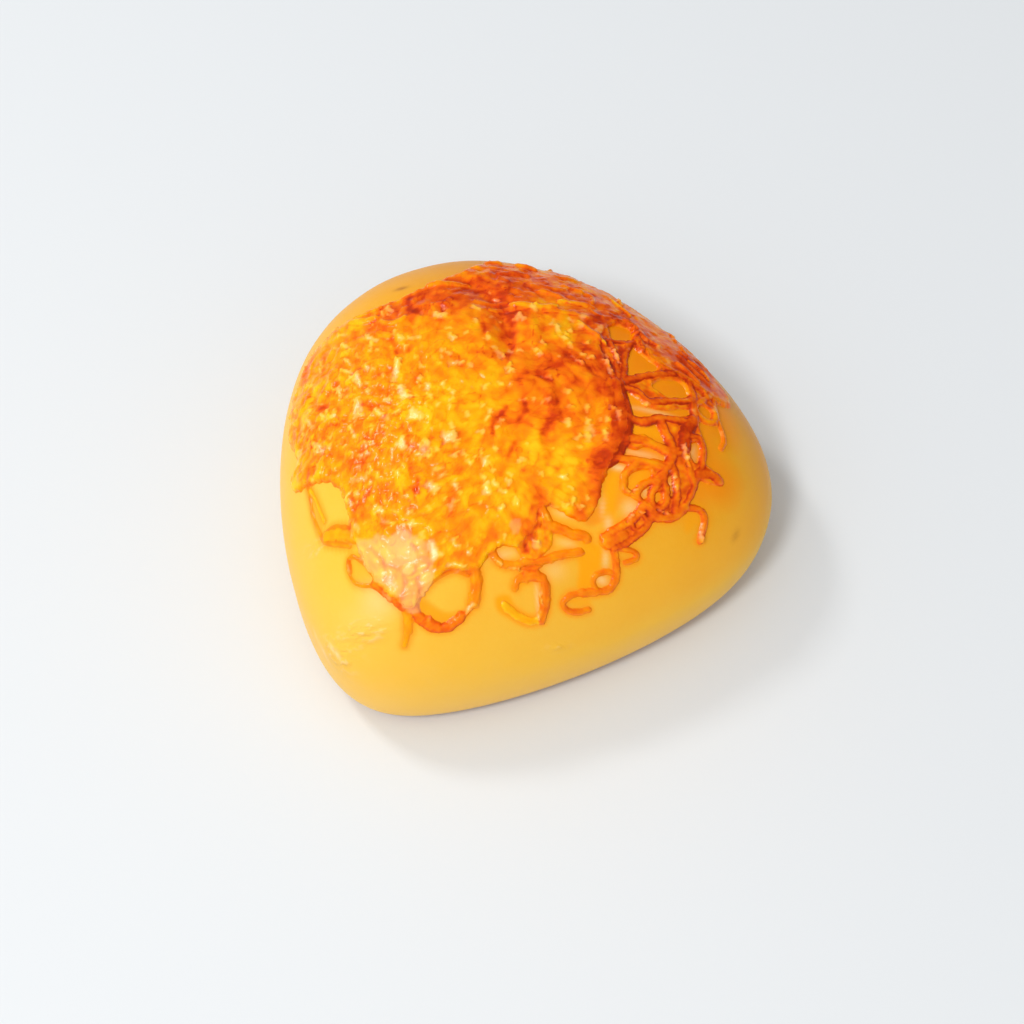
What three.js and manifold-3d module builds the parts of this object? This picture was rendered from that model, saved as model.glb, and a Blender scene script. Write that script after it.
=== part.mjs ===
// Tuna cheese bun: a smooth three-cornered bread bun under a crust of melted, browned cheese.
// Millimetres, +Z up, with the origin at the middle of the flat base.
import * as THREE from 'three';
import { mergeVertices } from 'three/addons/utils/BufferGeometryUtils.js';
import Module from 'manifold-3d';

const wasm = await Module();
wasm.setup();

// Bread: three round corners, softly blended, seen from above
const corners = [
  { x: -6.7, y: 18.5, radius: 43.9 },
  { x: 31.8, y: 2.0, radius: 27.5 },
  { x: -25.3, y: -34.6, radius: 16.6 },
];
const cornerBlend = 7.2;
const bunHeight = 52;
const bulgeHeight = 16.5;
const summitLean = -5.5;
const baseShare = 0.86;
const domeSide = 2.35;
const domeTop = 2.0;
const lowerRound = 2.2;
const breadDirections = 64;
const breadRings = 26;

// Shallow crease of the dough, as a path on the unrolled top
const crease = { path: [[-3, 33], [3, 26], [6.5, 14]], depth: 1.5, reach: 3.6 };

// Cheese sheet: the gap under it and under its shreds, its depth, and its cells
const cheeseGap = 0.3;
const shredLift = 0.4;
const sheetDepth = 1.25;
const sheetCell = 2.7;
const clump = { count: 330, least: 1.4, most: 3.4, rise: 1.0 };
const sheetSpan = { left: -60, right: 62, front: -52, back: 56 };

// Edge of the sheet on the unrolled top, clockwise from the back left
const sheetEdge = [
  [-30, 28], [-20, 30.5], [-13, 34], [-6, 41], [1, 48.5], [10, 47.5], [17, 50], [30, 46], [41, 37.5],
  [50, 28], [57.5, 13], [53, 8], [45, 10.5], [38.5, 14], [35.5, 20], [34.5, 27.5], [29, 24], [27, 14],
  [29, 5], [30.4, -6], [28.6, -19], [28.2, -28], [24.5, -34], [15.5, -31.5], [12.5, -37], [8.5, -41],
  [2, -41], [-3, -44.5], [-10, -42.5], [-17.5, -47.5], [-23, -40.5], [-27.5, -32.5], [-33, -22.5],
  [-42, -18.5], [-51, -18.5], [-54, -14.5], [-51.5, -10], [-56, -1], [-54.5, 12], [-48, 22], [-39, 27.5],
];

// Melted shreds that leave the sheet: width and the path of each on the unrolled top
const shreds = [
  // Lace over the right shoulder
  { width: 1.6, path: [[27, 18], [31, 19.2], [36.6, 20.6]] },
  { width: 1.5, path: [[34.2, 20.6], [31.9, 14], [30.3, 7], [28, 3]] },
  { width: 2.0, path: [[42, 12], [36, 9], [31, 6], [28, 3.4]] },
  { width: 1.8, path: [[45.5, 11], [45.3, 5.5], [40, 3], [35, 1], [32.5, 3], [30, 3.6]] },
  { width: 1.6, path: [[50.5, 9], [47.5, 6], [45.6, 3.6], [46.6, 1], [49.4, 1], [50.8, 4], [51.4, 9]] },
  { width: 1.5, path: [[51.5, 8], [51.3, 3], [52.3, -2], [51.5, -5]] },
  { width: 2.0, path: [[29.5, -4], [33, -4.6], [36.5, -2.8], [41, -2], [44.4, -1], [45.2, 5]] },
  { width: 2.6, path: [[44.2, -0.5], [42.6, -4.6], [42.4, -9]] },
  { width: 2.0, path: [[36.8, -3], [38.6, -7], [40.2, -10.5], [39.6, -15], [38.4, -19]] },
  { width: 2.2, path: [[29.8, -9.6], [34.5, -9.2], [40, -10.4], [42.6, -8.6]] },
  { width: 2.0, path: [[29.4, -15], [34, -14.2], [39.4, -14.8]] },
  { width: 1.6, path: [[42.6, -5.4], [46, -5], [47, -9], [46.4, -17], [45.8, -23]] },
  { width: 1.6, path: [[42.4, -9], [44, -13], [46.4, -16.6]] },
  { width: 1.6, path: [[39.8, -12.4], [41.8, -16], [43.2, -20], [44.2, -25]] },
  { width: 2.4, path: [[46.4, -13.8], [49, -12.8], [51.8, -13.4]] },
  { width: 1.7, path: [[45.6, -23.2], [49, -22], [51, -23.4], [51.8, -26.5], [52.2, -29.6]] },
  { width: 1.7, path: [[33.6, -14.8], [32.2, -18.5], [32.8, -22.6], [35.2, -23.2], [36.4, -20], [38.6, -18.4]] },
  { width: 1.6, path: [[39.2, -18.6], [38.4, -22], [39.6, -25.4], [41.6, -23.8], [41.2, -20.4], [39.4, -17]] },
  { width: 2.4, path: [[45.8, -22.6], [44.2, -26], [40.8, -27.4], [38.4, -25.4]] },
  { width: 4.4, path: [[38.8, -25], [37.6, -30], [34.4, -34.8], [31, -38]] },
  // Curls over the front
  { width: 1.5, path: [[33, -38.6], [35.2, -38.8], [38, -39], [37.4, -41], [35.4, -42.2]] },
  { width: 1.9, path: [[32, -38], [33.4, -43], [33.8, -47], [31.8, -50.2], [27.5, -51.2], [22.5, -51.6]] },
  { width: 1.6, path: [[33.6, -46.4], [31, -45.8], [28.6, -47.4], [28, -50.4]] },
  { width: 1.8, path: [[23, -51.4], [19.6, -53.6], [20.4, -56.4], [24, -56.4], [26.8, -55.2]] },
  { width: 3.4, path: [[30.5, -38.8], [26.8, -41.5], [25.2, -46], [25, -50.6]] },
  { width: 2.0, path: [[13.8, -32.6], [16.6, -36.4], [21, -37.4], [26.4, -39.6]] },
  { width: 2.1, path: [[1.6, -41], [4, -44.4], [9.5, -45.4], [16, -44.7], [24.6, -41.6]] },
  { width: 2.1, path: [[-3, -43.6], [-3.6, -49], [-7, -53.6], [-11.5, -54.6], [-15.4, -51.4], [-16.6, -46.6]] },
  { width: 1.7, path: [[-17, -47], [-19, -50.6], [-20.4, -55.4]] },
  { width: 1.5, path: [[-25.6, -35.4], [-28.8, -35.6], [-29.2, -38.8], [-26.4, -40.6], [-22.8, -40.4]] },
  { width: 2.0, path: [[-47.5, -17.8], [-43.4, -25], [-38.6, -30.8], [-33.5, -31.2], [-27.4, -31.6]] },
];

// Shred that lies alone on the bread, in front of the sheet
const looseShred = { width: 2.1, path: [[6.6, -49.8], [9.6, -48.2], [13.8, -48.8], [15, -52.4], [13.6, -57.6],
  [10, -59.4], [6.4, -57.4], [2.8, -54]] };
const looseShredSunk = 0.3;

const shredFlatness = 0.78;
const shredStep = 2.3;
const crustColour = 0xe9ad42;
const cheeseColour = 0xf08a14;

function seededRandom(seed) {
  let state = seed;
  return () => {
    state = (state * 1664525 + 1013904223) % 4294967296;
    return state / 4294967296;
  };
}

// Value at x on a line through the points (xs, ys), with xs rising
function lookUp(xs, ys, x) {
  let low = 0;
  let high = xs.length - 1;
  while (high - low > 1) {
    const half = (low + high) >> 1;
    if (xs[half] > x) high = half;
    else low = half;
  }
  const share = THREE.MathUtils.clamp((x - xs[low]) / (xs[high] - xs[low]), 0, 1);
  return ys[low] + share * (ys[high] - ys[low]);
}

// Distance from a point to a chain of straight stretches
function distanceToPath(u, v, path) {
  let nearest = Infinity;
  for (let i = 1; i < path.length; i += 1) {
    const [au, av] = path[i - 1];
    const [du, dv] = [path[i][0] - au, path[i][1] - av];
    const share = THREE.MathUtils.clamp(((u - au) * du + (v - av) * dv) / (du * du + dv * dv), 0, 1);
    nearest = Math.min(nearest, Math.hypot(u - au - share * du, v - av - share * dv));
  }
  return nearest;
}

// Outline of the bread: h = blend * log(sum(exp((c.n + r) / blend))) is how far it reaches along n
function outlinePoint(angle) {
  const along = new THREE.Vector2(Math.cos(angle), Math.sin(angle));
  const across = new THREE.Vector2(-along.y, along.x);
  let total = 0;
  let turn = 0;
  for (const { x, y, radius } of corners) {
    const share = Math.exp((x * along.x + y * along.y + radius) / cornerBlend);
    total += share;
    turn += share * (x * across.x + y * across.y);
  }
  const reach = cornerBlend * Math.log(total);
  return along.multiplyScalar(reach).addScaledVector(across, turn / total);
}

// Outline as a table of polar angle and radius about its mean point
function outlineTable() {
  const steps = 720;
  const rim = Array.from({ length: steps }, (_, i) => outlinePoint((2 * Math.PI * i) / steps));
  const middle = rim.reduce((sum, point) => sum.add(point), new THREE.Vector2()).divideScalar(steps);
  const boxCentre = new THREE.Box2().setFromPoints(rim).getCenter(new THREE.Vector2());
  const angles = [];
  const radii = [];
  for (let i = 0; i <= steps; i += 1) {
    const spoke = rim[i % steps].clone().sub(middle);
    const turns = 2 * Math.PI * Math.round(((2 * Math.PI * i) / steps - spoke.angle()) / (2 * Math.PI));
    angles.push(spoke.angle() + turns);
    radii.push(spoke.length());
  }
  const meanRadius = radii.reduce((sum, radius) => sum + radius, 0) / radii.length;
  return { angles, radii, meanRadius, centre: middle.sub(boxCentre) };
}

// Side profile as a table over arc length from the summit: share of the radius, lean and height
function profileTable(meanRadius) {
  const steps = 200;
  const table = { arcs: [], shares: [], leans: [], heights: [] };
  const addRow = (share, lean, height) => {
    const last = table.arcs.length - 1;
    const arc = last < 0 ? 0
      : table.arcs[last] + Math.hypot((share - table.shares[last]) * meanRadius, height - table.heights[last]);
    table.arcs.push(arc);
    table.shares.push(share);
    table.leans.push(lean);
    table.heights.push(height);
  };
  for (let i = 0; i <= steps; i += 1) {
    const angle = (Math.PI / 2) * (i / steps);
    const lean = Math.max(Math.cos(angle), 0) ** (2 / domeTop);
    addRow(Math.sin(angle) ** (2 / domeSide), lean, bulgeHeight + (bunHeight - bulgeHeight) * lean);
  }
  for (let i = 1; i <= steps; i += 1) {
    const angle = (Math.PI / 2) * (i / steps);
    const share = baseShare + (1 - baseShare) * Math.max(Math.cos(angle), 0) ** (2 / lowerRound);
    addRow(share, 0, bulgeHeight * (1 - Math.sin(angle) ** (2 / lowerRound)));
  }
  return table;
}

const outline = outlineTable();
const profile = profileTable(outline.meanRadius);
const sideLength = profile.arcs[profile.arcs.length - 1];

// Bread surface under the point (u, v) of the unrolled top, where |(u, v)| is the arc from the summit
function breadPoint(u, v) {
  const arc = Math.hypot(u, v);
  const angle = Math.atan2(v, u);
  const turned = THREE.MathUtils.euclideanModulo(angle - outline.angles[0], 2 * Math.PI) + outline.angles[0];
  const radius = lookUp(outline.angles, outline.radii, turned) * lookUp(profile.arcs, profile.shares, arc);
  const lean = lookUp(profile.arcs, profile.leans, arc);
  const dip = crease.depth * Math.exp(-((distanceToPath(u, v, crease.path) / crease.reach) ** 2));
  return new THREE.Vector3(
    outline.centre.x + summitLean * lean + radius * Math.cos(angle),
    outline.centre.y + radius * Math.sin(angle),
    lookUp(profile.arcs, profile.heights, arc) - dip,
  );
}

// Point at a height of lift above the bread, square to its surface
function onBread(u, v, lift) {
  const nudge = 0.3;
  const alongU = breadPoint(u + nudge, v).sub(breadPoint(u - nudge, v));
  const alongV = breadPoint(u, v + nudge).sub(breadPoint(u, v - nudge));
  return breadPoint(u, v).addScaledVector(alongU.cross(alongV).normalize(), lift);
}

function toSolid(geometry) {
  const bare = geometry.clone();
  bare.deleteAttribute('normal');
  bare.deleteAttribute('uv');
  const merged = mergeVertices(bare, 1e-4);
  return new wasm.Manifold(new wasm.Mesh({
    numProp: 3,
    vertProperties: new Float32Array(merged.attributes.position.array),
    triVerts: new Uint32Array(merged.index.array),
  }));
}

function toGeometry(solid) {
  const { vertProperties, triVerts } = solid.getMesh();
  const geometry = new THREE.BufferGeometry();
  geometry.setAttribute('position', new THREE.BufferAttribute(new Float32Array(vertProperties), 3));
  geometry.setIndex(new THREE.BufferAttribute(new Uint32Array(triVerts), 1));
  return geometry;
}

// Closed geometry from rows of points, with the first and last row shut by a single point
function ringedGeometry(rings, first, last) {
  const points = [first, ...rings.flat(), last];
  const index = [];
  const around = rings[0].length;
  const place = (ring, spoke) => 1 + ring * around + (spoke % around);
  for (let spoke = 0; spoke < around; spoke += 1) {
    index.push(0, place(0, spoke), place(0, spoke + 1));
    index.push(points.length - 1, place(rings.length - 1, spoke + 1), place(rings.length - 1, spoke));
    for (let ring = 1; ring < rings.length; ring += 1) {
      index.push(place(ring - 1, spoke), place(ring, spoke), place(ring, spoke + 1));
      index.push(place(ring - 1, spoke), place(ring, spoke + 1), place(ring - 1, spoke + 1));
    }
  }
  const geometry = new THREE.BufferGeometry().setFromPoints(points);
  geometry.setIndex(index);
  return geometry;
}

function breadSolid() {
  const rings = [];
  for (let ring = 1; ring <= breadRings; ring += 1) {
    const arc = (sideLength * ring) / breadRings;
    rings.push(Array.from({ length: breadDirections }, (_, spoke) => {
      const angle = (2 * Math.PI * spoke) / breadDirections;
      return breadPoint(arc * Math.cos(angle), arc * Math.sin(angle));
    }));
  }
  const baseCentre = new THREE.Vector3(outline.centre.x, outline.centre.y, 0);
  return toSolid(ringedGeometry(rings, breadPoint(0, 0), baseCentre));
}

// Strip with a flattened six-sided section along a path, its underside at the given lift
function flatStrip({ width, path }, lift) {
  const thickness = width * shredFlatness;
  const curve = new THREE.CatmullRomCurve3(path.map(([u, v]) => new THREE.Vector3(u, v, lift + thickness / 2)));
  const section = new THREE.Shape(Array.from({ length: 6 }, (_, side) => new THREE.Vector2(
    (thickness / Math.sqrt(3)) * Math.sin((Math.PI / 3) * side),
    (width / 2) * Math.cos((Math.PI / 3) * side),
  )));
  const steps = Math.ceil(curve.getLength() / shredStep);
  return toSolid(new THREE.ExtrudeGeometry(section, { steps, extrudePath: curve, bevelEnabled: false }));
}

// Depth of the sheet: its melted body and round clumps, each rise * (1 - (d / reach)^2)
function clumpField() {
  const random = seededRandom(71);
  const { left, right, front, back } = sheetSpan;
  const clumps = Array.from({ length: clump.count }, () => ({
    u: THREE.MathUtils.lerp(left, right, random()),
    v: THREE.MathUtils.lerp(front, back, random()),
    reach: THREE.MathUtils.lerp(clump.least, clump.most, random()),
  }));
  return (u, v) => clumps.reduce((depth, { u: cu, v: cv, reach }) => {
    const far = Math.hypot(u - cu, v - cv) / reach;
    return far < 1 ? Math.max(depth, sheetDepth + clump.rise * (1 - far * far)) : depth;
  }, sheetDepth);
}

// Flat slab in cells, its top raised by the clumps
function slabSolid() {
  const { left, right, front, back } = sheetSpan;
  const columns = Math.round((right - left) / sheetCell);
  const rows = Math.round((back - front) / sheetCell);
  const slab = new THREE.BoxGeometry(right - left, back - front, 1, columns, rows, 1);
  slab.translate((left + right) / 2, (front + back) / 2, 0);
  const depthAt = clumpField();
  const points = slab.attributes.position;
  for (let i = 0; i < points.count; i += 1) {
    const depth = depthAt(points.getX(i), points.getY(i));
    points.setZ(i, points.getZ(i) > 0 ? cheeseGap + depth : cheeseGap);
  }
  return toSolid(slab);
}

function sheetCutter() {
  const curve = new THREE.CatmullRomCurve3(sheetEdge.map(([u, v]) => new THREE.Vector3(u, v, 0)), true);
  const edge = new THREE.Shape(curve.getPoints(3 * sheetEdge.length).map(({ x, y }) => new THREE.Vector2(x, y)));
  const cutter = new THREE.ExtrudeGeometry(edge, { depth: 10, bevelEnabled: false });
  return toSolid(cutter.translate(0, 0, -4));
}

function cheeseGeometry() {
  let cheese = slabSolid().intersect(sheetCutter());
  for (const shred of shreds) cheese = cheese.add(flatStrip(shred, shredLift));
  return wrap(toGeometry(cheese));
}

// Lays flat geometry on the bread: its x and y are the unrolled top, its z the lift
function wrap(geometry) {
  const points = geometry.attributes.position;
  for (let i = 0; i < points.count; i += 1) {
    const { x, y, z } = onBread(points.getX(i), points.getY(i), points.getZ(i));
    points.setXYZ(i, x, y, z);
  }
  return geometry;
}

function bunGeometry() {
  const shred = toSolid(wrap(toGeometry(flatStrip(looseShred, -looseShredSunk))));
  return toGeometry(breadSolid().add(shred));
}

function namedMesh(name, geometry, colour, roughness) {
  const material = new THREE.MeshStandardMaterial({ color: colour, roughness, metalness: 0 });
  geometry.computeVertexNormals();
  const mesh = new THREE.Mesh(geometry, material);
  mesh.name = name;
  return mesh;
}

const tunaCheeseBun = new THREE.Group();
tunaCheeseBun.add(namedMesh('bun', bunGeometry(), crustColour, 0.35));
tunaCheeseBun.add(namedMesh('cheese_topping', cheeseGeometry(), cheeseColour, 0.3));

export default tunaCheeseBun;
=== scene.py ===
import bpy
import math
import numpy as np
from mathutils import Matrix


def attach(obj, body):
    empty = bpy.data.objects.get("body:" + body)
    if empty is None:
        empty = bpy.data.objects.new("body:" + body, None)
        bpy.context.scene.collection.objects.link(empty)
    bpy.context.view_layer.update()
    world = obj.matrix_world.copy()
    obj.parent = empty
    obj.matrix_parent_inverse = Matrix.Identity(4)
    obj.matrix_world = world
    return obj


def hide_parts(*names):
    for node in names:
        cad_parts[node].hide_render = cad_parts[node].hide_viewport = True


# Tuna cheese bun: a glossy bread bun under a sheet of melted, browned cheese with a lacy edge.
# Shapes are worked out in mm on the bun's unrolled top (u, v), where |(u, v)| is the arc from the summit.
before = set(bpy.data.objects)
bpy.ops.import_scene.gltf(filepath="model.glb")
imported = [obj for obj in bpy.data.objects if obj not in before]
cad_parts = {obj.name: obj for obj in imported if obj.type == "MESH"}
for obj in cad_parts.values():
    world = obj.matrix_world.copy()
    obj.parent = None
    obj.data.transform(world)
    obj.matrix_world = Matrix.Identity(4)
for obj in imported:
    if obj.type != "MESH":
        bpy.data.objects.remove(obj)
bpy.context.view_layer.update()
metre = 0.001                                           # a millimetre in Blender's metres

bread = {
    "corners": ((-6.7, 18.5, 43.9), (31.8, 2.0, 27.5), (-25.3, -34.6, 16.6)),   # x, y and radius
    "cornerBlend": 7.2,
    "height": 52.0,
    "bulgeHeight": 16.5,                                # level where the bun is widest
    "summitLean": -5.5,
    "baseShare": 0.86,                                  # flat base against the whole outline
    "baseHollow": 0.25,
    "domeSide": 2.35,
    "domeTop": 2.0,
    "lowerRound": 2.2,
    "creasePath": ((-3, 33), (3, 26), (6.5, 14)),
    "creaseDepth": 1.5,
    "creaseReach": 3.6,
    "around": 560,
    "rings": 168,
    "swell": 0.16,                                      # soft unevenness of the dough
    "swellSize": 13,
    "swellFade": (70, 90),                              # arcs between which it ends
    "bakeLevels": (0, 12, 22, 52),                      # browning by height, and more of it for each mm
    "bakeShades": (0.0, 0.12, 0.33, 0.52),              # to the right and to the back
    "bakeRight": 0.0042,
    "bakeBack": 0.008,
    # Soft spots on the crust: u, v, reach along u, reach along v, amount
    "marks": ((-20.5, 36, 1.6, 0.8, 0.7), (61, -24, 0.9, 1.8, 0.35)),
    "wrinkles": (
        (-28.5, -50, 5, 2.6, 1), (-39, -55, 5, 4, 0.9), (-41, -33, 4, 1.6, 0.6), (17, -67, 3.4, 1.2, 0.5)),
    # Painted highlights: paler cream spots and short bright bars where the lamps are mirrored in the crust
    "paintedHighlights": (
        (-23.5, -44, 4, 4, 0.45), (-29, -47, 5, 3, 0.12), (-39.9, -53.2, 0.8, 1, 1),
        (-38.6, -54.8, 0.8, 1, 1), (-45.6, -55, 0.8, 2.4, 0.7), (-47, -51, 0.7, 1.8, 0.5),
        (30.7, -33, 0.8, 1.8, 0.7), (30.6, -42.5, 0.7, 2.4, 0.6), (29.9, -48, 1.4, 1.2, 0.7),
        (11.8, -54, 0.5, 4, 0.6), (20, -33, 2.2, 0.8, 0.45), (20.6, -40.2, 2.4, 0.9, 0.35),
        (30.5, -17.2, 1.8, 0.9, 0.8), (29, -29, 0.5, 2.4, 0.5), (34, -12.4, 3.4, 0.8, 0.45),
        (36, -1.2, 5.5, 0.6, 0.5), (41.8, -19, 0.6, 2.4, 0.6), (37.2, -22, 0.6, 1.2, 0.6),
        (35, -27.5, 1.5, 2.2, 0.6), (44.8, -9, 0.6, 2, 0.5), (4, -42.5, 3, 1, 0.4), (17, -47, 3, 2.5, 0.3)),
    # Orange fat soaked into the crust, and thin yellow melt on it: amount and outline
    "stains": (
        (0.6, ((25, -30.5), (28.6, -28), (29.6, -21), (33, -17), (34, -22), (32.4, -28), (29, -33.4),
               (25.4, -34.6))),
        (0.6, ((-16.5, -45.5), (-13.6, -48.4), (-11.4, -51.4), (-8, -53.4), (-13, -54), (-17, -50)))),
    "films": (
        (1, ((29, -17), (30.8, -17.5), (31.6, -24), (32, -30), (31.5, -34.5), (29.6, -33), (29, -27),
             (28.6, -21))),
        (1, ((22.8, -39.2), (28.5, -39), (30.2, -41.5), (29.4, -45.5), (31.5, -47), (30.5, -50.3),
             (26, -51), (23, -51), (23.6, -46))),
        (0.7, ((21, -53.6), (26.5, -53), (27, -55), (22, -55.8))),
        (1, ((0.8, -51.8), (4.5, -52), (6, -55.5), (11.5, -58.3), (11.5, -60), (7.5, -59.8), (4, -57.4),
             (1, -55))),
        (0.8, ((6, -51), (6.3, -48.3), (9, -47), (11.5, -47.6), (10, -50))),
        (0.6, ((-28.8, -35.8), (-25, -36.8), (-23.8, -38.4), (-24.4, -40.2), (-27, -39.8), (-28.8, -38.2))),
        (0.5, ((-44.6, -19.6), (-41, -21.4), (-37.6, -27.2), (-39, -28.6), (-42, -25.4))),
        (0.8, ((-15.5, -46), (-13.5, -48.5), (-11.5, -51), (-8, -53), (-13, -53.4), (-16.5, -50))),
        (0.7, ((46, -20.5), (50.5, -21), (50.2, -25.5), (48.5, -29), (46.6, -26))),
        (0.8, ((31.5, -4.6), (37, -4), (38.4, -8), (34, -7.6), (31.4, -7.6))),
        (0.8, ((33.8, -16.8), (36.6, -16.2), (36, -19.4), (34.6, -22.4), (33.2, -22))),
        (0.5, ((-18, -48.5), (-16.5, -49), (-17.2, -53), (-19.2, -54.6)))),
    "patchFade": 1.2,                                   # width of their soft edges
}

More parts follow.
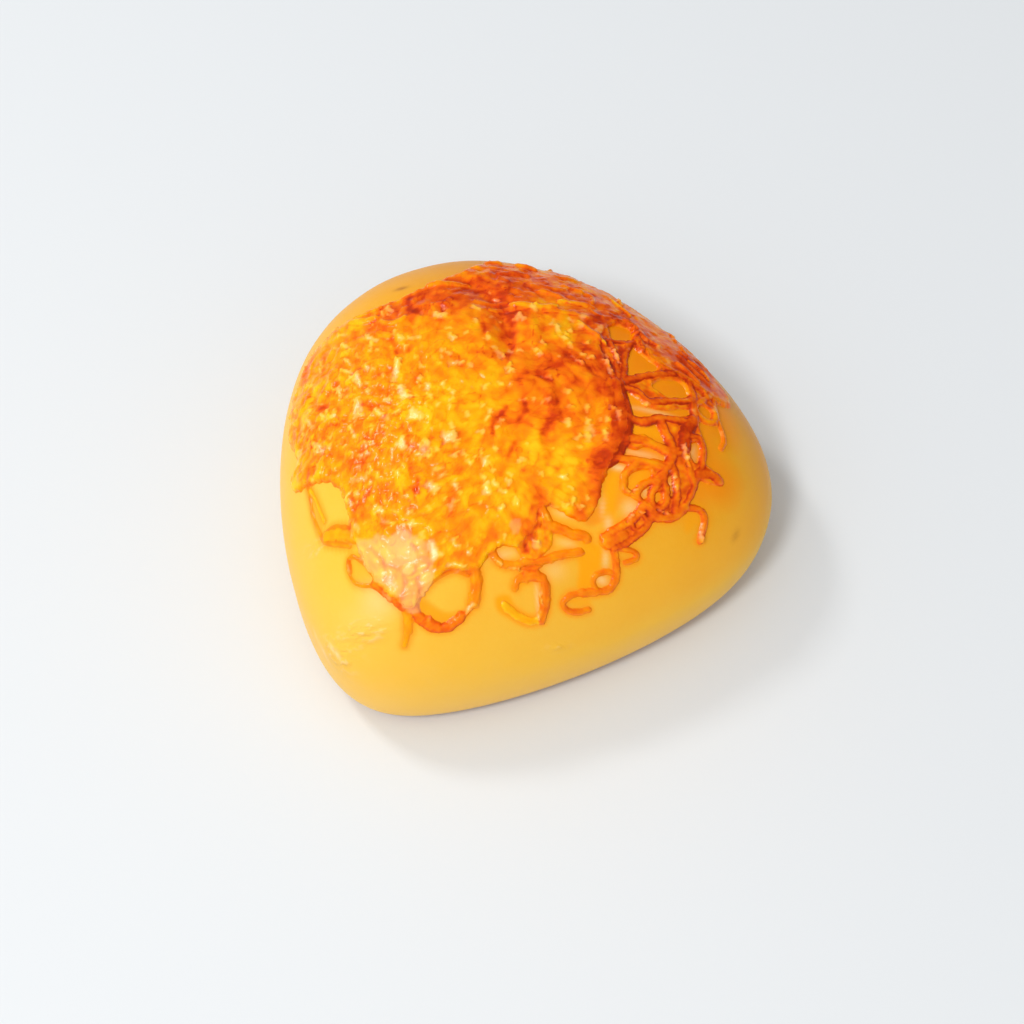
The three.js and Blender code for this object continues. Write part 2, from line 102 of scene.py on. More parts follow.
cheese = {
    "sheetCell": 0.30,
    "laceCell": 0.21,
    "depth": 1.0,
    "sunk": 1.3,                                        # how far the closed underside lies in the bread
    "edgeRound": 0.6,
    "lowestKept": -0.3,                                 # cells whose relief lies deeper are left out
    "brownBase": 0.27,
    # Noises: amount, size and seed of each
    "ragged": ((0.5, 2.7, 5), (0.3, 1.0, 6)),
    "mottle": ((0.19, 3.6, 9), (0.12, 1.9, 10)),
    "webMottle": ((0.25, 2.4, 62), (0.12, 1.0, 63)),
    "edge": (
        (-30, 28), (-20, 30.5), (-13, 34), (-6, 41), (1, 48.5), (10, 47.5), (17, 50), (30, 46), (41, 37.5),
        (50, 28), (57.5, 13), (53, 8), (45, 10.5), (38.5, 14), (35.5, 20), (34.5, 27.5), (29, 24), (27, 14),
        (29, 5), (30.4, -6), (28.6, -19), (28.2, -28), (24.5, -34), (15.5, -31.5), (12.5, -37), (8.5, -41),
        (2, -41), (-3, -44.5), (-10, -42.5), (-17.5, -47.5), (-23, -40.5), (-27.5, -32.5), (-33, -22.5),
        (-42, -18.5), (-51, -18.5), (-54, -14.5), (-51.5, -10), (-56, -1), (-54.5, 12), (-48, 22),
        (-39, 27.5)),
    # Thin melt that joins the strands over the right shoulder, and the holes that show bread through it
    "webDepth": 0.45,
    "webRound": 0.5,
    "webBrown": 0.44,
    "web": (
        (26.5, 22), (29, 26.5), (35, 28), (38, 20), (41, 13.5), (47, 10.5), (50.5, 8), (51.4, 4), (51, 0.8),
        (49, 0.2), (46.6, 0), (46.2, -3), (47, -6.5), (47.3, -10), (49, -11), (52.3, -13.6), (50.3, -15),
        (47, -15.5), (46.7, -19), (46.6, -22), (45, -25.5), (41, -28.3), (39.4, -28.6), (38.4, -31),
        (36, -35), (33.5, -38.5), (30.5, -40), (28.9, -38), (31, -34.5), (33.8, -31.5), (36.3, -29),
        (36.6, -26), (34.5, -24.2), (32.3, -23.6), (31.5, -20), (32.3, -16.3), (29.5, -16), (27, -17),
        (26.5, -10), (28, -3), (27, 6), (25.5, 14)),
    "melts": (
        ((6.5, -38), (11, -34.5), (13.4, -30), (16, -33), (17, -37), (16.6, -41), (13.6, -44), (9, -44.4),
         (7, -41)),),
    "holes": (
        ((30, 26), (34.5, 27), (35, 23.5), (33.5, 20), (30.5, 19.5), (29.7, 22)),
        ((34.5, 18.7), (36.8, 15.5), (39, 13), (38, 11.3), (35, 9.3), (32.5, 7.8), (30.8, 8.5), (31.8, 13),
         (32.8, 17)),
        ((36.2, 6.3), (39, 8.8), (41.5, 9.8), (43.6, 10), (44.4, 8), (44.4, 5.5), (42, 3.9), (40.5, 3.6),
         (38.5, 4.2)),
        ((28.3, 1.8), (30.3, 2.7), (32, 1.2), (34, -0.3), (38, -0.2), (41, 1), (44, 2), (44.3, 0.5),
         (41.5, -0.6), (38, -1.8), (33, -3), (31, -3.2), (29.9, -1)),
        ((31.2, -4.2), (35, -3.5), (37.2, -4.5), (38, -7), (39.1, -9), (36.5, -8.4), (34, -7.6),
         (31.2, -7.6)),
        ((30.2, -11.5), (32.5, -11.8), (35, -10.4), (38.5, -11.2), (39.2, -13), (37, -12.8), (34.5, -13.5),
         (30.3, -13.4)),
        ((32.9, -20.5), (33.6, -17.5), (36.5, -16.2), (36.8, -18), (35.3, -19.6), (35.1, -22.3),
         (33.8, -22.8)),
        ((36.6, -21), (37.6, -20), (38, -22.5), (37.3, -24), (36.5, -23)),
        ((39.2, -21.6), (39.9, -21), (40.5, -22.5), (40, -24), (39.3, -23.4)),
        ((40.7, -15), (41.5, -16), (42.8, -19.5), (42.5, -21.5), (41.5, -20.5), (40.6, -17.5)),
        ((43.7, -7.2), (45.4, -6.3), (46, -8.5), (45.8, -11.2), (44.6, -10.4), (43.9, -9)),
        ((46.4, 3.3), (47.5, 4.7), (49.2, 4.5), (50, 3.2), (49.4, 1.9), (47.8, 1.6), (46.7, 2.3))),
    # Listed melted shreds: width, browning and path
    "shreds": (
        (1.7, 0.92, ((26.2, 0), (26.9, -5), (28, -10), (28.4, -15), (26.6, -18.6), (24.6, -17.5))),
        (1.7, 0.98, ((29.2, 3), (30.1, -3), (30.3, -9), (29.7, -14.5), (27.6, -18.4))),
        (2.6, 0.16, ((-31.5, -20.6), (-27, -20), (-23, -18), (-19.4, -15))),
        (1.6, 0.85, ((27, 18), (31, 19.2), (36.6, 20.6))),
        (1.5, 0.8, ((34.2, 20.6), (31.9, 14), (30.3, 7), (28, 3))),
        (2, 0.8, ((42, 12), (36, 9), (31, 6), (28, 3.4))),
        (1.8, 0.75, ((45.5, 11), (45.3, 5.5), (40, 3), (35, 1), (32.5, 3), (30, 3.6))),
        (1.6, 0.6, ((50.5, 9), (47.5, 6), (45.6, 3.6), (46.6, 1), (49.4, 1), (50.8, 4), (51.4, 9))),
        (1.5, 0.55, ((51.5, 8), (51.3, 3), (52.3, -2), (51.5, -5))),
        (2, 0.75, ((29.5, -4), (33, -4.6), (36.5, -2.8), (41, -2), (44.4, -1), (45.2, 5))),
        (2.6, 0.85, ((44.2, -0.5), (42.6, -4.6), (42.4, -9))),
        (2, 0.65, ((36.8, -3), (38.6, -7), (40.2, -10.5), (39.6, -15), (38.4, -19))),
        (2.2, 0.6, ((29.8, -9.6), (34.5, -9.2), (40, -10.4), (42.6, -8.6))),
        (2, 0.55, ((29.4, -15), (34, -14.2), (39.4, -14.8))),
        (1.6, 0.75, ((42.6, -5.4), (46, -5), (47, -9), (46.4, -17), (45.8, -23))),
        (1.6, 0.6, ((42.4, -9), (44, -13), (46.4, -16.6))),
        (1.6, 0.65, ((39.8, -12.4), (41.8, -16), (43.2, -20), (44.2, -25))),
        (2.4, 0.7, ((46.4, -13.8), (49, -12.8), (51.8, -13.4))),
        (1.7, 0.6, ((45.6, -23.2), (49, -22), (51, -23.4), (51.8, -26.5), (52.2, -29.6))),
        (1.7, 0.55, ((33.6, -14.8), (32.2, -18.5), (32.8, -22.6), (35.2, -23.2), (36.4, -20),
                     (38.6, -18.4))),
        (1.6, 0.65, ((39.2, -18.6), (38.4, -22), (39.6, -25.4), (41.6, -23.8), (41.2, -20.4), (39.4, -17))),
        (2.4, 0.6, ((45.8, -22.6), (44.2, -26), (40.8, -27.4), (38.4, -25.4))),
        (1.9, 0.62, ((37.4, -25.4), (36.2, -29.4), (33.2, -33.4), (29.8, -37))),
        (1.9, 0.66, ((40.2, -25.2), (39.2, -30.4), (35.8, -36), (32.4, -39))),
        (3.6, 0.5, ((34, -35), (30.8, -38))),
        (1.3, 0.75, ((36.8, -27.6), (38.6, -28.8), (39.4, -30.2))),
        (1.3, 0.72, ((35.4, -30.6), (36.4, -32.4), (38, -32.6))),
        (1.6, 0.5, ((33, -39), (36, -38.4), (38.2, -38.7), (38, -40.3), (35.8, -41.9))),
        (2.2, 0.52, ((32.2, -38.5), (33.4, -42.5), (33.6, -46.5), (32.4, -49.6), (29, -51.2), (24.6, -52))),
        (1.7, 0.46, ((33.4, -45.6), (31, -45.6), (28.4, -46.8), (27.4, -48.8), (28.4, -50.6))),
        (1.7, 0.52, ((24.8, -52), (21, -53), (18.9, -55.2), (20.4, -56.9), (23.6, -57.1), (26.4, -56.2))),
        (2.9, 0.48, ((14.6, -32.6), (16.4, -36), (20, -37.2), (25.6, -38))),
        (2, 0.42, ((0.9, -41), (2.6, -44), (6, -45.3), (10, -45))),
        (2.3, 0.47, ((9, -44.9), (12, -45.2), (16, -44.2), (24, -41.8))),
        (1.3, 0.5, ((7, -45.6), (9.4, -46.4), (11.6, -46.6), (13.4, -45.8))),
        (3, 0.42, ((-3.6, -42.6), (-3.3, -46.5), (-3.7, -49.6), (-4.6, -51.6))),
        (1.4, 0.5, ((-4.6, -51.4), (-6.4, -53.2), (-8.6, -53.8))),
        (2.3, 0.62, ((-8, -53.8), (-11, -54.7), (-14, -53.6), (-15.4, -51.8))),
        (2.1, 0.56, ((-15, -52.4), (-16.6, -49.8), (-17.4, -46.4))),
        (1.1, 0.42, ((-15.4, -45.4), (-13.2, -43.9), (-10.4, -43), (-7.6, -43), (-5, -45))),
        (1.3, 0.04, ((-11.4, -39.8), (-8, -41.2), (-5.4, -42.4), (-4, -44.2))),
        (2, 0.3, ((-18.2, -46.6), (-18.6, -49.6), (-19.3, -52.4))),
        (1.3, 0.32, ((-19, -51.6), (-20.2, -54.2), (-20.9, -55.5))),
        (0.9, 0.42, ((-23.8, -37.6), (-25.6, -36), (-28.4, -34.9), (-29.7, -36.4), (-29, -38.8),
                     (-27.2, -40.2), (-23, -41))),
        (1.3, 0.56, ((-29.4, -35.8), (-29.2, -37.6))),
        (1.5, 0.58, ((-23.6, -40.6), (-21.4, -43), (-18.8, -47))),
        (0.6, 0.44, ((-18, -38.2), (-17.2, -37.4), (-15.4, -37.8), (-15, -39.6), (-16.2, -40.4),
                     (-17.6, -39.8))),
        (0.9, 0.46, ((-20.4, -39.8), (-18.6, -42.4), (-16.6, -45.2))),
        (0.8, 0.42, ((-17.4, -40.8), (-17, -43), (-15.4, -45))),
        (1.2, 0.6, ((-15.2, -29), (-14.6, -33), (-13.6, -37.6), (-11, -40))),
        (0.8, 0.4, ((-24.6, -35), (-21.8, -38.4), (-20.6, -40.6))),
        (1.2, 0.42, ((-46.4, -18.4), (-44.6, -22), (-43, -25.6), (-40.6, -28.8), (-37.8, -31.6),
                     (-35, -32.4), (-29, -32.9))),
        (2.7, 0.24, ((-37, -31), (-33, -30.8), (-28, -31.2))),
        (1.1, 0.45, ((-37.6, -30.8), (-35.4, -29.5), (-32, -29.3), (-28.6, -29.8))),
        (1, 0.44, ((-33.6, -29.6), (-33, -31), (-33.4, -32.4))),
        (1.2, 0.16, ((-44.8, -19.6), (-42.6, -22.2), (-40.4, -25), (-38, -27.8))),
        (1.4, 0.45, ((-31, 26.5), (-28, 28.4), (-24.5, 28.2))),
        (2.9, 0.5, ((9.4, -48.3), (12, -48.2), (13.9, -49.8), (14.1, -52.5), (13.7, -56), (12.4, -58.8))),
        (2.2, 0.42, ((6.2, -50.2), (7, -48.8), (9.8, -48.2))),
        (2.4, 0.14, ((12.2, -59), (8.8, -58.9), (5.6, -56.8), (2.8, -54))),
        (1.5, 0.64, ((26, 16.5), (26.5, 12), (27.6, 8), (27.8, 4.4))),
        (1.4, 0.7, ((29.2, 18), (29.8, 13.5), (29.2, 8.5), (28.4, 4))),
        (1.3, 0.64, ((19.8, 12.5), (21, 9.6), (22.6, 7), (24, 4))),
        (1.3, 0.68, ((24.4, 9), (25.4, 5), (24.8, 1), (25.6, -3))),
        (1.5, 0.64, ((21.4, 19.6), (24.2, 20.2), (27.6, 19.2))),
        (1.5, 0.66, ((28, 27.6), (28.8, 23.4), (28, 19.4))),
        (1.2, 0.62, ((22, 14), (24.4, 15), (26.6, 17.4)))),
    "looseShred": (2.4, ((6.6, -49.8), (9.6, -48.2), (13.8, -48.8), (15, -52.4), (13.6, -57.6),
                         (10, -59.4), (6.4, -57.4), (2.8, -54))),      # width and path
    "pathStep": 0.5,
    "shredFlatness": 0.44,
    "shredTallest": 1.4,
    "shredNoises": ((2.2, 40), (0.8, 90), (2.4, 140), (2.6, 190)),     # size and first seed
    # Scattered flat shreds: count, zone, length, half width, rise, heading and its spread in degrees
    "scatter": (
        (260, "grainy", (3.0, 9.0), (0.75, 1.25), (0.08, 0.25), 0, 90),
        (300, "grainy", (0.8, 2.6), (0.45, 0.90), (0.06, 0.20), 0, 90),
        (260, "ropey", (4.0, 11.0), (0.45, 0.85), (0.30, 0.75), -60, 24),
        (200, "folded", (4.0, 12.0), (0.60, 1.10), (0.30, 0.65), 0, 20),
        (130, "pooled", (3.0, 9.0), (0.80, 1.40), (0.06, 0.22), 95, 40),
        (260, "whole", (0.1, 0.5), (0.25, 0.50), (0.06, 0.15), 0, 90),
    ),
    # Zones of the sheet as soft spots: u, v, reach along u, reach along v, amount
    "grainy": ((-34, -4, 24, 26, 1.3), (-12, -32, 14, 14, 0.9), (-8, 14, 14, 10, 0.35),
               (0, -20, 10, 10, 0.3)),
    "ropey": ((46, 24, 12, 14, 1.4), (33, 36, 12, 8, 0.9), (40, 14, 8, 6, 0.6)),
    "folded": ((5, 38, 26, 9, 1.2), (-18, 28, 16, 6, 0.8)),
    "pooled": ((12, 0, 20, 26, 1.3), (18, 20, 12, 12, 0.8), (20, -24, 10, 12, 0.8), (-12, -2, 8, 8, 0.6)),
    "whole": ((0, 0, 200, 200, 1.0),),
    "thin": ((11.5, -38.5, 3, 4, 0.8), (-16.8, -34.5, 2.2, 3.4, 1.6), (-22.5, -36.5, 4, 3.5, 0.5),
             (-16, -40.5, 3, 2.4, 0.9)),
    "speckled": (
        (-8, 0, 3, 3, 0.9), (-7, 9.6, 2.5, 1.6, 0.9), (13, -3.5, 4, 2, 0.8), (2.5, -7, 2, 2, 0.8),
        (-13, -18, 3, 3, 1), (-3, -18, 2, 3, 0.8), (1.5, -14, 2, 3, 0.6), (-22, -21, 5, 3, 1),
        (-27, -12, 5, 4, 0.8), (-28, -25, 3, 3, 1), (-20, -25, 6, 3, 0.9), (-7, -38, 1.5, 3, 0.9),
        (-22, -31, 4, 2, 0.6), (-19, -44, 3, 2, 0.5), (-38, -7, 5, 4, 0.8), (26, -12, 2.5, 4, 0.8),
        (22, -30, 3, 1.5, 0.9), (3.5, -25, 3, 2, 0.8), (22, 9, 4, 3, 0.8), (16, -9, 3, 3, 0.6),
        (24, -4, 2, 5, 0.8), (24, -20, 3, 2, 0.9), (12, 24, 3, 3, 0.7), (-24, -9, 5, 3, 0.8),
        (-34, 17, 5, 3, 0.6)),
    # Tilted tiles: size, seed, amount everywhere, more of it where grainy and where folded, steepest slope
    "facets": ((2.8, 21, 0.30, 0.35, 0.25, 0.42), (1.3, 27, 0.10, 0.32, 0.25, 0.40)),
    "speckles": (0.75, 33, 0.8, 0.60),                  # size, seed, amount and steepest slope
    # Cream-coloured places, pale thin melt with painted highlights: amount and outline
    "creamyAndHighlit": (
        (0.45, ((-19.6, -32.4), (-18, -30.8), (-15.6, -31.2), (-14.6, -33), (-14.4, -36.6), (-15.4, -38.2),
                (-18.4, -38), (-20.6, -36))),
        (0.45, ((-17.8, -38.6), (-15.6, -38.2), (-15.2, -39.8), (-17.4, -40.2))),
        (0.4, ((-15, -40), (-12.6, -40.4), (-12.8, -43), (-15, -44.4))),
        (0.3, ((-20, -42), (-18, -41.6), (-16.8, -45), (-18.4, -46))),
        (0.55, ((-12.2, -35), (-10.8, -35.4), (-10.6, -38.4), (-12, -38.8))),
        (0.3, ((-27, -32.6), (-20, -31.5), (-13.6, -33), (-12, -38), (-12.2, -43), (-15, -49), (-18, -47.6),
               (-21, -41.6), (-25, -37))),
        (0.2, ((11.6, -40.2), (13.6, -40.4), (13.4, -41.6), (11.8, -41.8))),
        (0.2, ((5.8, -35.6), (8.4, -35), (8.2, -37.6), (6.4, -37.8)))),
    # Browned zones and the zones that stay yellow
    "browned": (
        (8, 36, 26, 11, 0.36), (-14, 27, 8, 5, 0.28), (-3, 29, 5, 6, 0.16), (5, 20, 5, 9, 0.28),
        (32, 24, 8, 9, 0.36), (29.5, -6, 2.6, 9, 0.4), (26.5, -16, 3.2, 5, 0.4), (27.5, -26, 2.2, 6, 0.4),
        (25, -33, 3.5, 1.6, 0.25), (27, 5, 4, 8, 0.32), (48, 16, 10, 11, 0.44), (-42.5, 2, 1.4, 1.6, 0.5),
        (-28, -16, 4, 4, 0.14), (-48, 18, 3, 3, 0.2), (-28, -25, 4, 3, 0.16), (-7.2, -27, 1.6, 3, 0.25),
        (-14, -52, 4, 3, 0.22), (9, -9, 6, 4, 0.16), (-22, 22, 6, 5, 0.14), (18, 10, 8, 8, 0.22),
        (14, -2, 11, 9, 0.19), (-5, -38, 2, 4, 0.18), (-30, -6, 20, 20, 0.07)),
    "yellow": (
        (-8, -3, 9, 5, 0.2), (-15, -6, 6, 5, 0.16), (20, -20, 4, 6, 0.18), (4, -3, 5, 4, 0.1),
        (15, 30, 3, 2.5, 0.3), (18, 19, 2, 4, 0.25), (-20, -36, 6, 6, 0.12), (3, -28, 8, 6, 0.1),
        (-46, 6, 6, 8, 0.08), (-51.5, -16.5, 3, 2.5, 0.2), (13, -17, 5, 4, 0.08), (4, 5.5, 3, 2, 0.15)),
    # Darker seams in the melt: width, amount and path
    "veins": (
        (1.8, 0.22, ((7.2, 21), (7, 16), (7, 12.5), (5, 9.5))),
        (1.6, 0.16, ((14.5, 3), (12, 5), (9, 4), (7, 1), (6, -0.5))),
        (1.2, 0.28, ((5.5, -5.5), (4.5, -8), (2.8, -10.5), (2.8, -13))),
        (1.1, 0.3, ((8, -15.5), (7, -18), (6.4, -19.5))),
        (1.2, 0.25, ((9, -3), (9.6, -6), (8.8, -9))),
        (1.6, 0.22, ((15, -3.5), (15, -8), (14.5, -12))),
        (3, 0.28, ((14.2, -28), (13.4, -32), (12, -36), (9.6, -41))),
        (2, 0.22, ((19.2, 13), (18.6, 10), (16.5, 7.5), (13, 6))),
        (1.4, 0.3, ((-17.5, 29), (-17, 25), (-14, 23))),
        (1, 0.34, ((-0.2, 19), (0.1, 16.5))),
        (1, 0.25, ((-12.5, -20), (-13, -23))),
        (1.2, 0.22, ((-21, 16.5), (-20, 12))),
        (1, 0.28, ((16, -21), (18.4, -21.4))),
        (2.6, 0.26, ((27.6, 26.4), (25.6, 24.4))),
        (2, 0.22, ((23.4, 14.6), (22.2, 13.2))),
        (3, 0.2, ((4.2, 26.4), (3.6, 23.6))),
        (1, 0.24, ((26.9, 15.4), (28, 11.4), (28.4, 6.4))),
        (1, 0.26, ((31.3, 17.4), (31.3, 13), (30.4, 8.6))),
        (1, 0.22, ((21.2, 11.4), (22.4, 8.4), (23.6, 5.6))),
        (0.8, 0.24, ((-23, -33.6), (-20.8, -36.6), (-21, -40))),
        (0.7, 0.22, ((-20.8, -36.6), (-18, -38.6), (-17.6, -41.6), (-18.6, -44.6))),
        (0.7, 0.22, ((-17.6, -41.6), (-14.8, -41.4), (-12.6, -39.6))),
        (0.7, 0.22, ((-16.4, -47), (-15.2, -44.4), (-14.8, -41.4)))),
    # Flat wet shards that mirror a lamp: u, v, length, width and heading
    "shards": (
        (-20.8, 7, 7, 1.8, 72), (-19.4, 0.2, 5.2, 2.6, 108), (-31.3, -2, 5.8, 2.6, 95),
        (-24.8, -5.2, 4.6, 1.4, -40), (-42.3, -9.8, 6, 1.8, -40), (-36.6, 4.2, 4.2, 1.4, -75),
        (-31.2, 6.2, 4.6, 2, -70), (-46, -1.6, 4.2, 1.5, -55), (-41.2, -1.8, 3.2, 1.5, -60),
        (-38.5, -2.2, 2.4, 1.5, 10), (-26.6, 17.8, 4.2, 1.4, -35), (-34, 18.3, 3.6, 1.1, -40),
        (-33.4, 12.8, 3.4, 1, -55), (-33.8, 9.8, 4.6, 1, -40), (-49.8, -9.5, 4.2, 2, 80),
        (-32, -8.6, 4.6, 0.9, -60), (-17.5, -13.3, 3.2, 2.4, -40), (-28.4, -17.8, 1.3, 1.2, 0),
        (-28, -15.2, 2, 1.5, 0), (-27.3, -12.6, 2.2, 1.4, -50), (-27, 14.3, 1.2, 1, 0),
        (-27, 8.8, 1.6, 1, 90), (-21.5, 1.5, 1.8, 0.8, -15), (-23.6, -1.3, 2, 1.5, 0),
        (-18.7, 16, 2.4, 1.4, -70), (-15.5, 15.3, 3.6, 0.9, -10), (-15.2, -6.7, 4.6, 2.4, -15),
        (-6.6, -11.2, 3.2, 3, 5), (-5.3, -13.6, 1.6, 1.2, 60), (-6, -8.6, 1.8, 1.1, -45),
        (-11.4, -13.6, 3, 1.8, 60), (-12, -15.2, 4.2, 0.8, 5), (-13.2, 1.2, 2.6, 1.6, 75),
        (-9.6, 1.4, 2.2, 1.3, 90), (-7.4, -0.4, 2.4, 1.2, -50), (-5.7, 7.2, 3.8, 1.1, 0),
        (-2.7, 6.6, 1.9, 1.1, 100), (-8.6, 10.8, 1.5, 1, 0), (3.2, 11, 4.2, 1.3, -55),
        (6, 6.5, 2.4, 1.1, 45), (2, -6.7, 1.6, 1.6, 0), (0.9, 0.9, 2.2, 0.9, 30), (17.2, 19.8, 3, 1.3, -75),
        (0.5, -20, 2.4, 1.5, 90), (23, -9.4, 3.2, 1.6, -65), (21.5, -3.8, 2.2, 0.8, -80),
        (8, 22.5, 2.2, 1.5, 60), (-6.8, 14.6, 2.4, 1.4, -50), (0.7, 15.2, 2.2, 0.9, -85),
        (-9.8, 21.5, 3.4, 1.6, -20), (-4, -16.4, 2.4, 0.8, -60), (-3, -19, 2.4, 0.8, -60),
        (-0.3, -12, 2.2, 1.1, -30), (-27.5, -20.2, 5, 1.2, 8), (-10.2, -22.3, 3.4, 1.9, -50),
        (-6, -23.6, 2.6, 1.1, -65), (-14.7, -27, 1.4, 1.3, 0), (-14.7, -29.6, 1.6, 1.5, 30),
        (-21.2, -26.5, 2.4, 1.5, 20), (-29.5, -24.8, 3, 1.1, -30), (-19, -28.8, 3.2, 0.8, -10),
        (-27, -29.5, 2.8, 1.1, -40), (-11.2, -36.8, 4.2, 1.9, -75), (-7.3, -36, 1.8, 1.2, -30),
        (0.6, -26.6, 3.4, 2.1, 85), (2.6, -26, 2.2, 1.2, -40), (4.6, -28, 2.6, 1.1, -15),
        (6.4, -24, 2, 0.8, -35), (7.6, -30.8, 1.8, 1.1, 40), (10.2, -20.4, 1.8, 1.4, 0),
        (21.8, -29, 1.4, 0.9, 60), (-22, 26, 2.6, 1.4, -50), (4.7, -9.8, 1.6, 1.3, 60),
        (14.3, -23.5, 1.4, 1.2, 0), (3.8, -32, 2.2, 1.4, 20), (18.3, -8, 2.4, 1.3, -50),
        (22.9, -11, 2.6, 1.3, -65), (22, -7, 1.6, 1, 80), (26, -9.5, 2.4, 1, -60),
        (20.5, -30.5, 2.6, 0.9, 25), (23.5, -30.8, 1.2, 1.1, 0), (21.3, -26, 1.6, 1, -30),
        (19.5, -23.5, 2.2, 1, 10), (8.8, 23, 3, 1.3, -60), (11.3, 26, 2.4, 1.2, -60),
        (16.4, 22.5, 2.4, 1.4, 80), (20, 20, 1.2, 1.2, 0), (18.4, 17, 2.2, 1, -40),
        (20, 14.5, 2.4, 0.9, 80), (4, 1.5, 1, 1, 0), (9, 12, 1.6, 1, -20), (17.2, 10.5, 0.9, 0.8, 90),
        (20.8, 9.5, 3.4, 0.6, -50), (23.3, 26.3, 3, 1.5, 70), (27, 22.4, 3.6, 1.4, 70),
        (22.6, 22, 1.6, 1.4, 0), (10.5, -2.5, 1, 0.8, 80), (13, -2.6, 2, 0.6, 30), (2.6, 29, 2, 1, -30),
        (-2, 24, 2.4, 1, -20)),
    "scatteredShards": 420,
    # The same on strands and on the steep right side
    "glints": (
        (29.6, 13, 4.5, 0.9, -80), (27.3, 8, 6, 0.9, -85), (38.2, 22, 2.2, 1, 60),
        (40.2, 19.6, 1.8, 1.2, -70), (41.6, 15.3, 2.6, 1, 70), (38, 13.5, 2, 1.4, -50),
        (36.7, 24.8, 1.6, 0.9, 60), (39.6, 24.6, 2, 0.9, 60), (33.3, 22.3, 3, 0.8, 55),
        (44.4, 6.8, 2.6, 0.9, -70), (45, 1.5, 1.8, 1, -70), (50.7, 5, 2.6, 0.9, 70),
        (50.8, 9.6, 3, 0.8, 60), (51.6, -1, 1.8, 0.8, -70), (33.5, 0.3, 2, 0.8, -40),
        (42.9, -10.5, 5.5, 0.9, -65), (42, -17.5, 5, 0.6, -65), (40.7, -15.8, 2, 0.6, -70),
        (51.4, -27.3, 5, 0.8, -72), (40.2, -21.6, 1.4, 0.7, 90), (41, -25.5, 1.5, 0.6, -10),
        (42.5, -25.8, 1.3, 0.6, 10), (26, -10, 3, 0.8, -75), (25.6, -6, 2, 0.9, 80),
        (27.8, -4.5, 2.5, 1, 90), (37.4, -27.6, 1, 0.7, 0), (33.6, -23, 0.9, 0.7, 0),
        (34.8, -22.5, 1.6, 0.6, 80), (35, -30, 3, 0.6, 75), (31, -42.5, 3.4, 1, 75),
        (31, -48.3, 1.4, 1, 80), (12.6, -52.5, 5, 0.8, -88), (11.4, -57.5, 2, 1, 75),
        (2, -43.5, 3.6, 0.7, -50), (6, -46, 3, 0.6, -15), (22, -29.5, 2, 0.8, 50), (24, -30.5, 1.2, 1.4, 0),
        (15.6, -34.5, 1.6, 0.6, -60), (31.5, -33.5, 1.6, 0.8, 70), (-5.5, -52.2, 3, 1.2, 30),
        (-29.3, -37, 1.6, 0.8, 80), (-7.3, -41.8, 4.5, 0.9, -25), (-10, -53.6, 2, 0.7, 10),
        (-14.7, -51, 1.2, 0.9, -60), (-21.5, -43.5, 2.6, 0.9, -55), (-14, -44.5, 2.6, 1.4, 30),
        (-13.5, -41.5, 1.5, 1.2, 0), (-22, -36, 1.5, 1, 0), (-25, -33.5, 1.6, 1, 0)),
    "seed": 71,
}


lights = {
    # azimuth from +Y towards +X and elevation in degrees, distance and size in metres, watts
    "window_left": (-60, 52, 1.1, 0.175, 2.65),
    "soft_front": (-148, 56, 1.1, 0.205, 4.5),
}
camera = {"lens": 85.0, "sensor": 36.0, "elevation": 56.8, "distance": 0.5577,
          "target": (-0.00357, -0.00544, 0.0115)}
room = {"colour": "#f6f7fa", "strength": 0.515, "slope": 0.50, "brightSide": (-0.54, -0.64, 0.55)}


def toLinear(hexColour):
    # sRGB hex to linear red, green, blue and alpha
    channels = [int(hexColour[i:i + 2], 16) / 255 for i in (1, 3, 5)]
    return [c / 12.92 if c <= 0.04045 else ((c + 0.055) / 1.055) ** 2.4 for c in channels] + [1.0]


def direction(azimuth, elevation):
    # Unit vector from an azimuth (from +Y towards +X) and an elevation in degrees
    a, e = math.radians(azimuth), math.radians(elevation)
    return np.array([math.cos(e) * math.sin(a), math.cos(e) * math.cos(a), math.sin(e)])


cameraPlace = np.array(camera["target"]) + camera["distance"] * direction(180, camera["elevation"])


def crossing(value, width):
    # Rises from 0 to 1 over the given width as the value passes 0
    return np.clip(value / width + 0.5, 0, 1)


def bell(value, width):
    # Soft hump: exp(-(value / width)^2)
    return np.exp(-(value / width) ** 2)


def smoothMax(a, b, soft):
    # Larger of two surfaces with a fillet: (a + b + sqrt((a - b)^2 + soft^2)) / 2
    return (a + b + np.sqrt((a - b) ** 2 + soft * soft)) / 2


def pathDistance(u, v, path):
    # Distance to a chain of straight stretches, and the share of the way along it
    path = np.asarray(path, float)
    stretch = np.hypot(*np.diff(path, axis=0).T)
    before = np.concatenate([[0.0], np.cumsum(stretch)])
    nearest, along = np.full(u.shape, np.inf), np.zeros(u.shape)
    for i, (au, av) in enumerate(path[:-1]):
        du, dv = path[i + 1] - path[i]
        share = np.clip(((u - au) * du + (v - av) * dv) / max(stretch[i] ** 2, 1e-9), 0, 1)
        far = np.hypot(u - au - share * du, v - av - share * dv)
        closer = far < nearest
        nearest = np.where(closer, far, nearest)
        along = np.where(closer, (before[i] + share * stretch[i]) / before[-1], along)
    return nearest, along


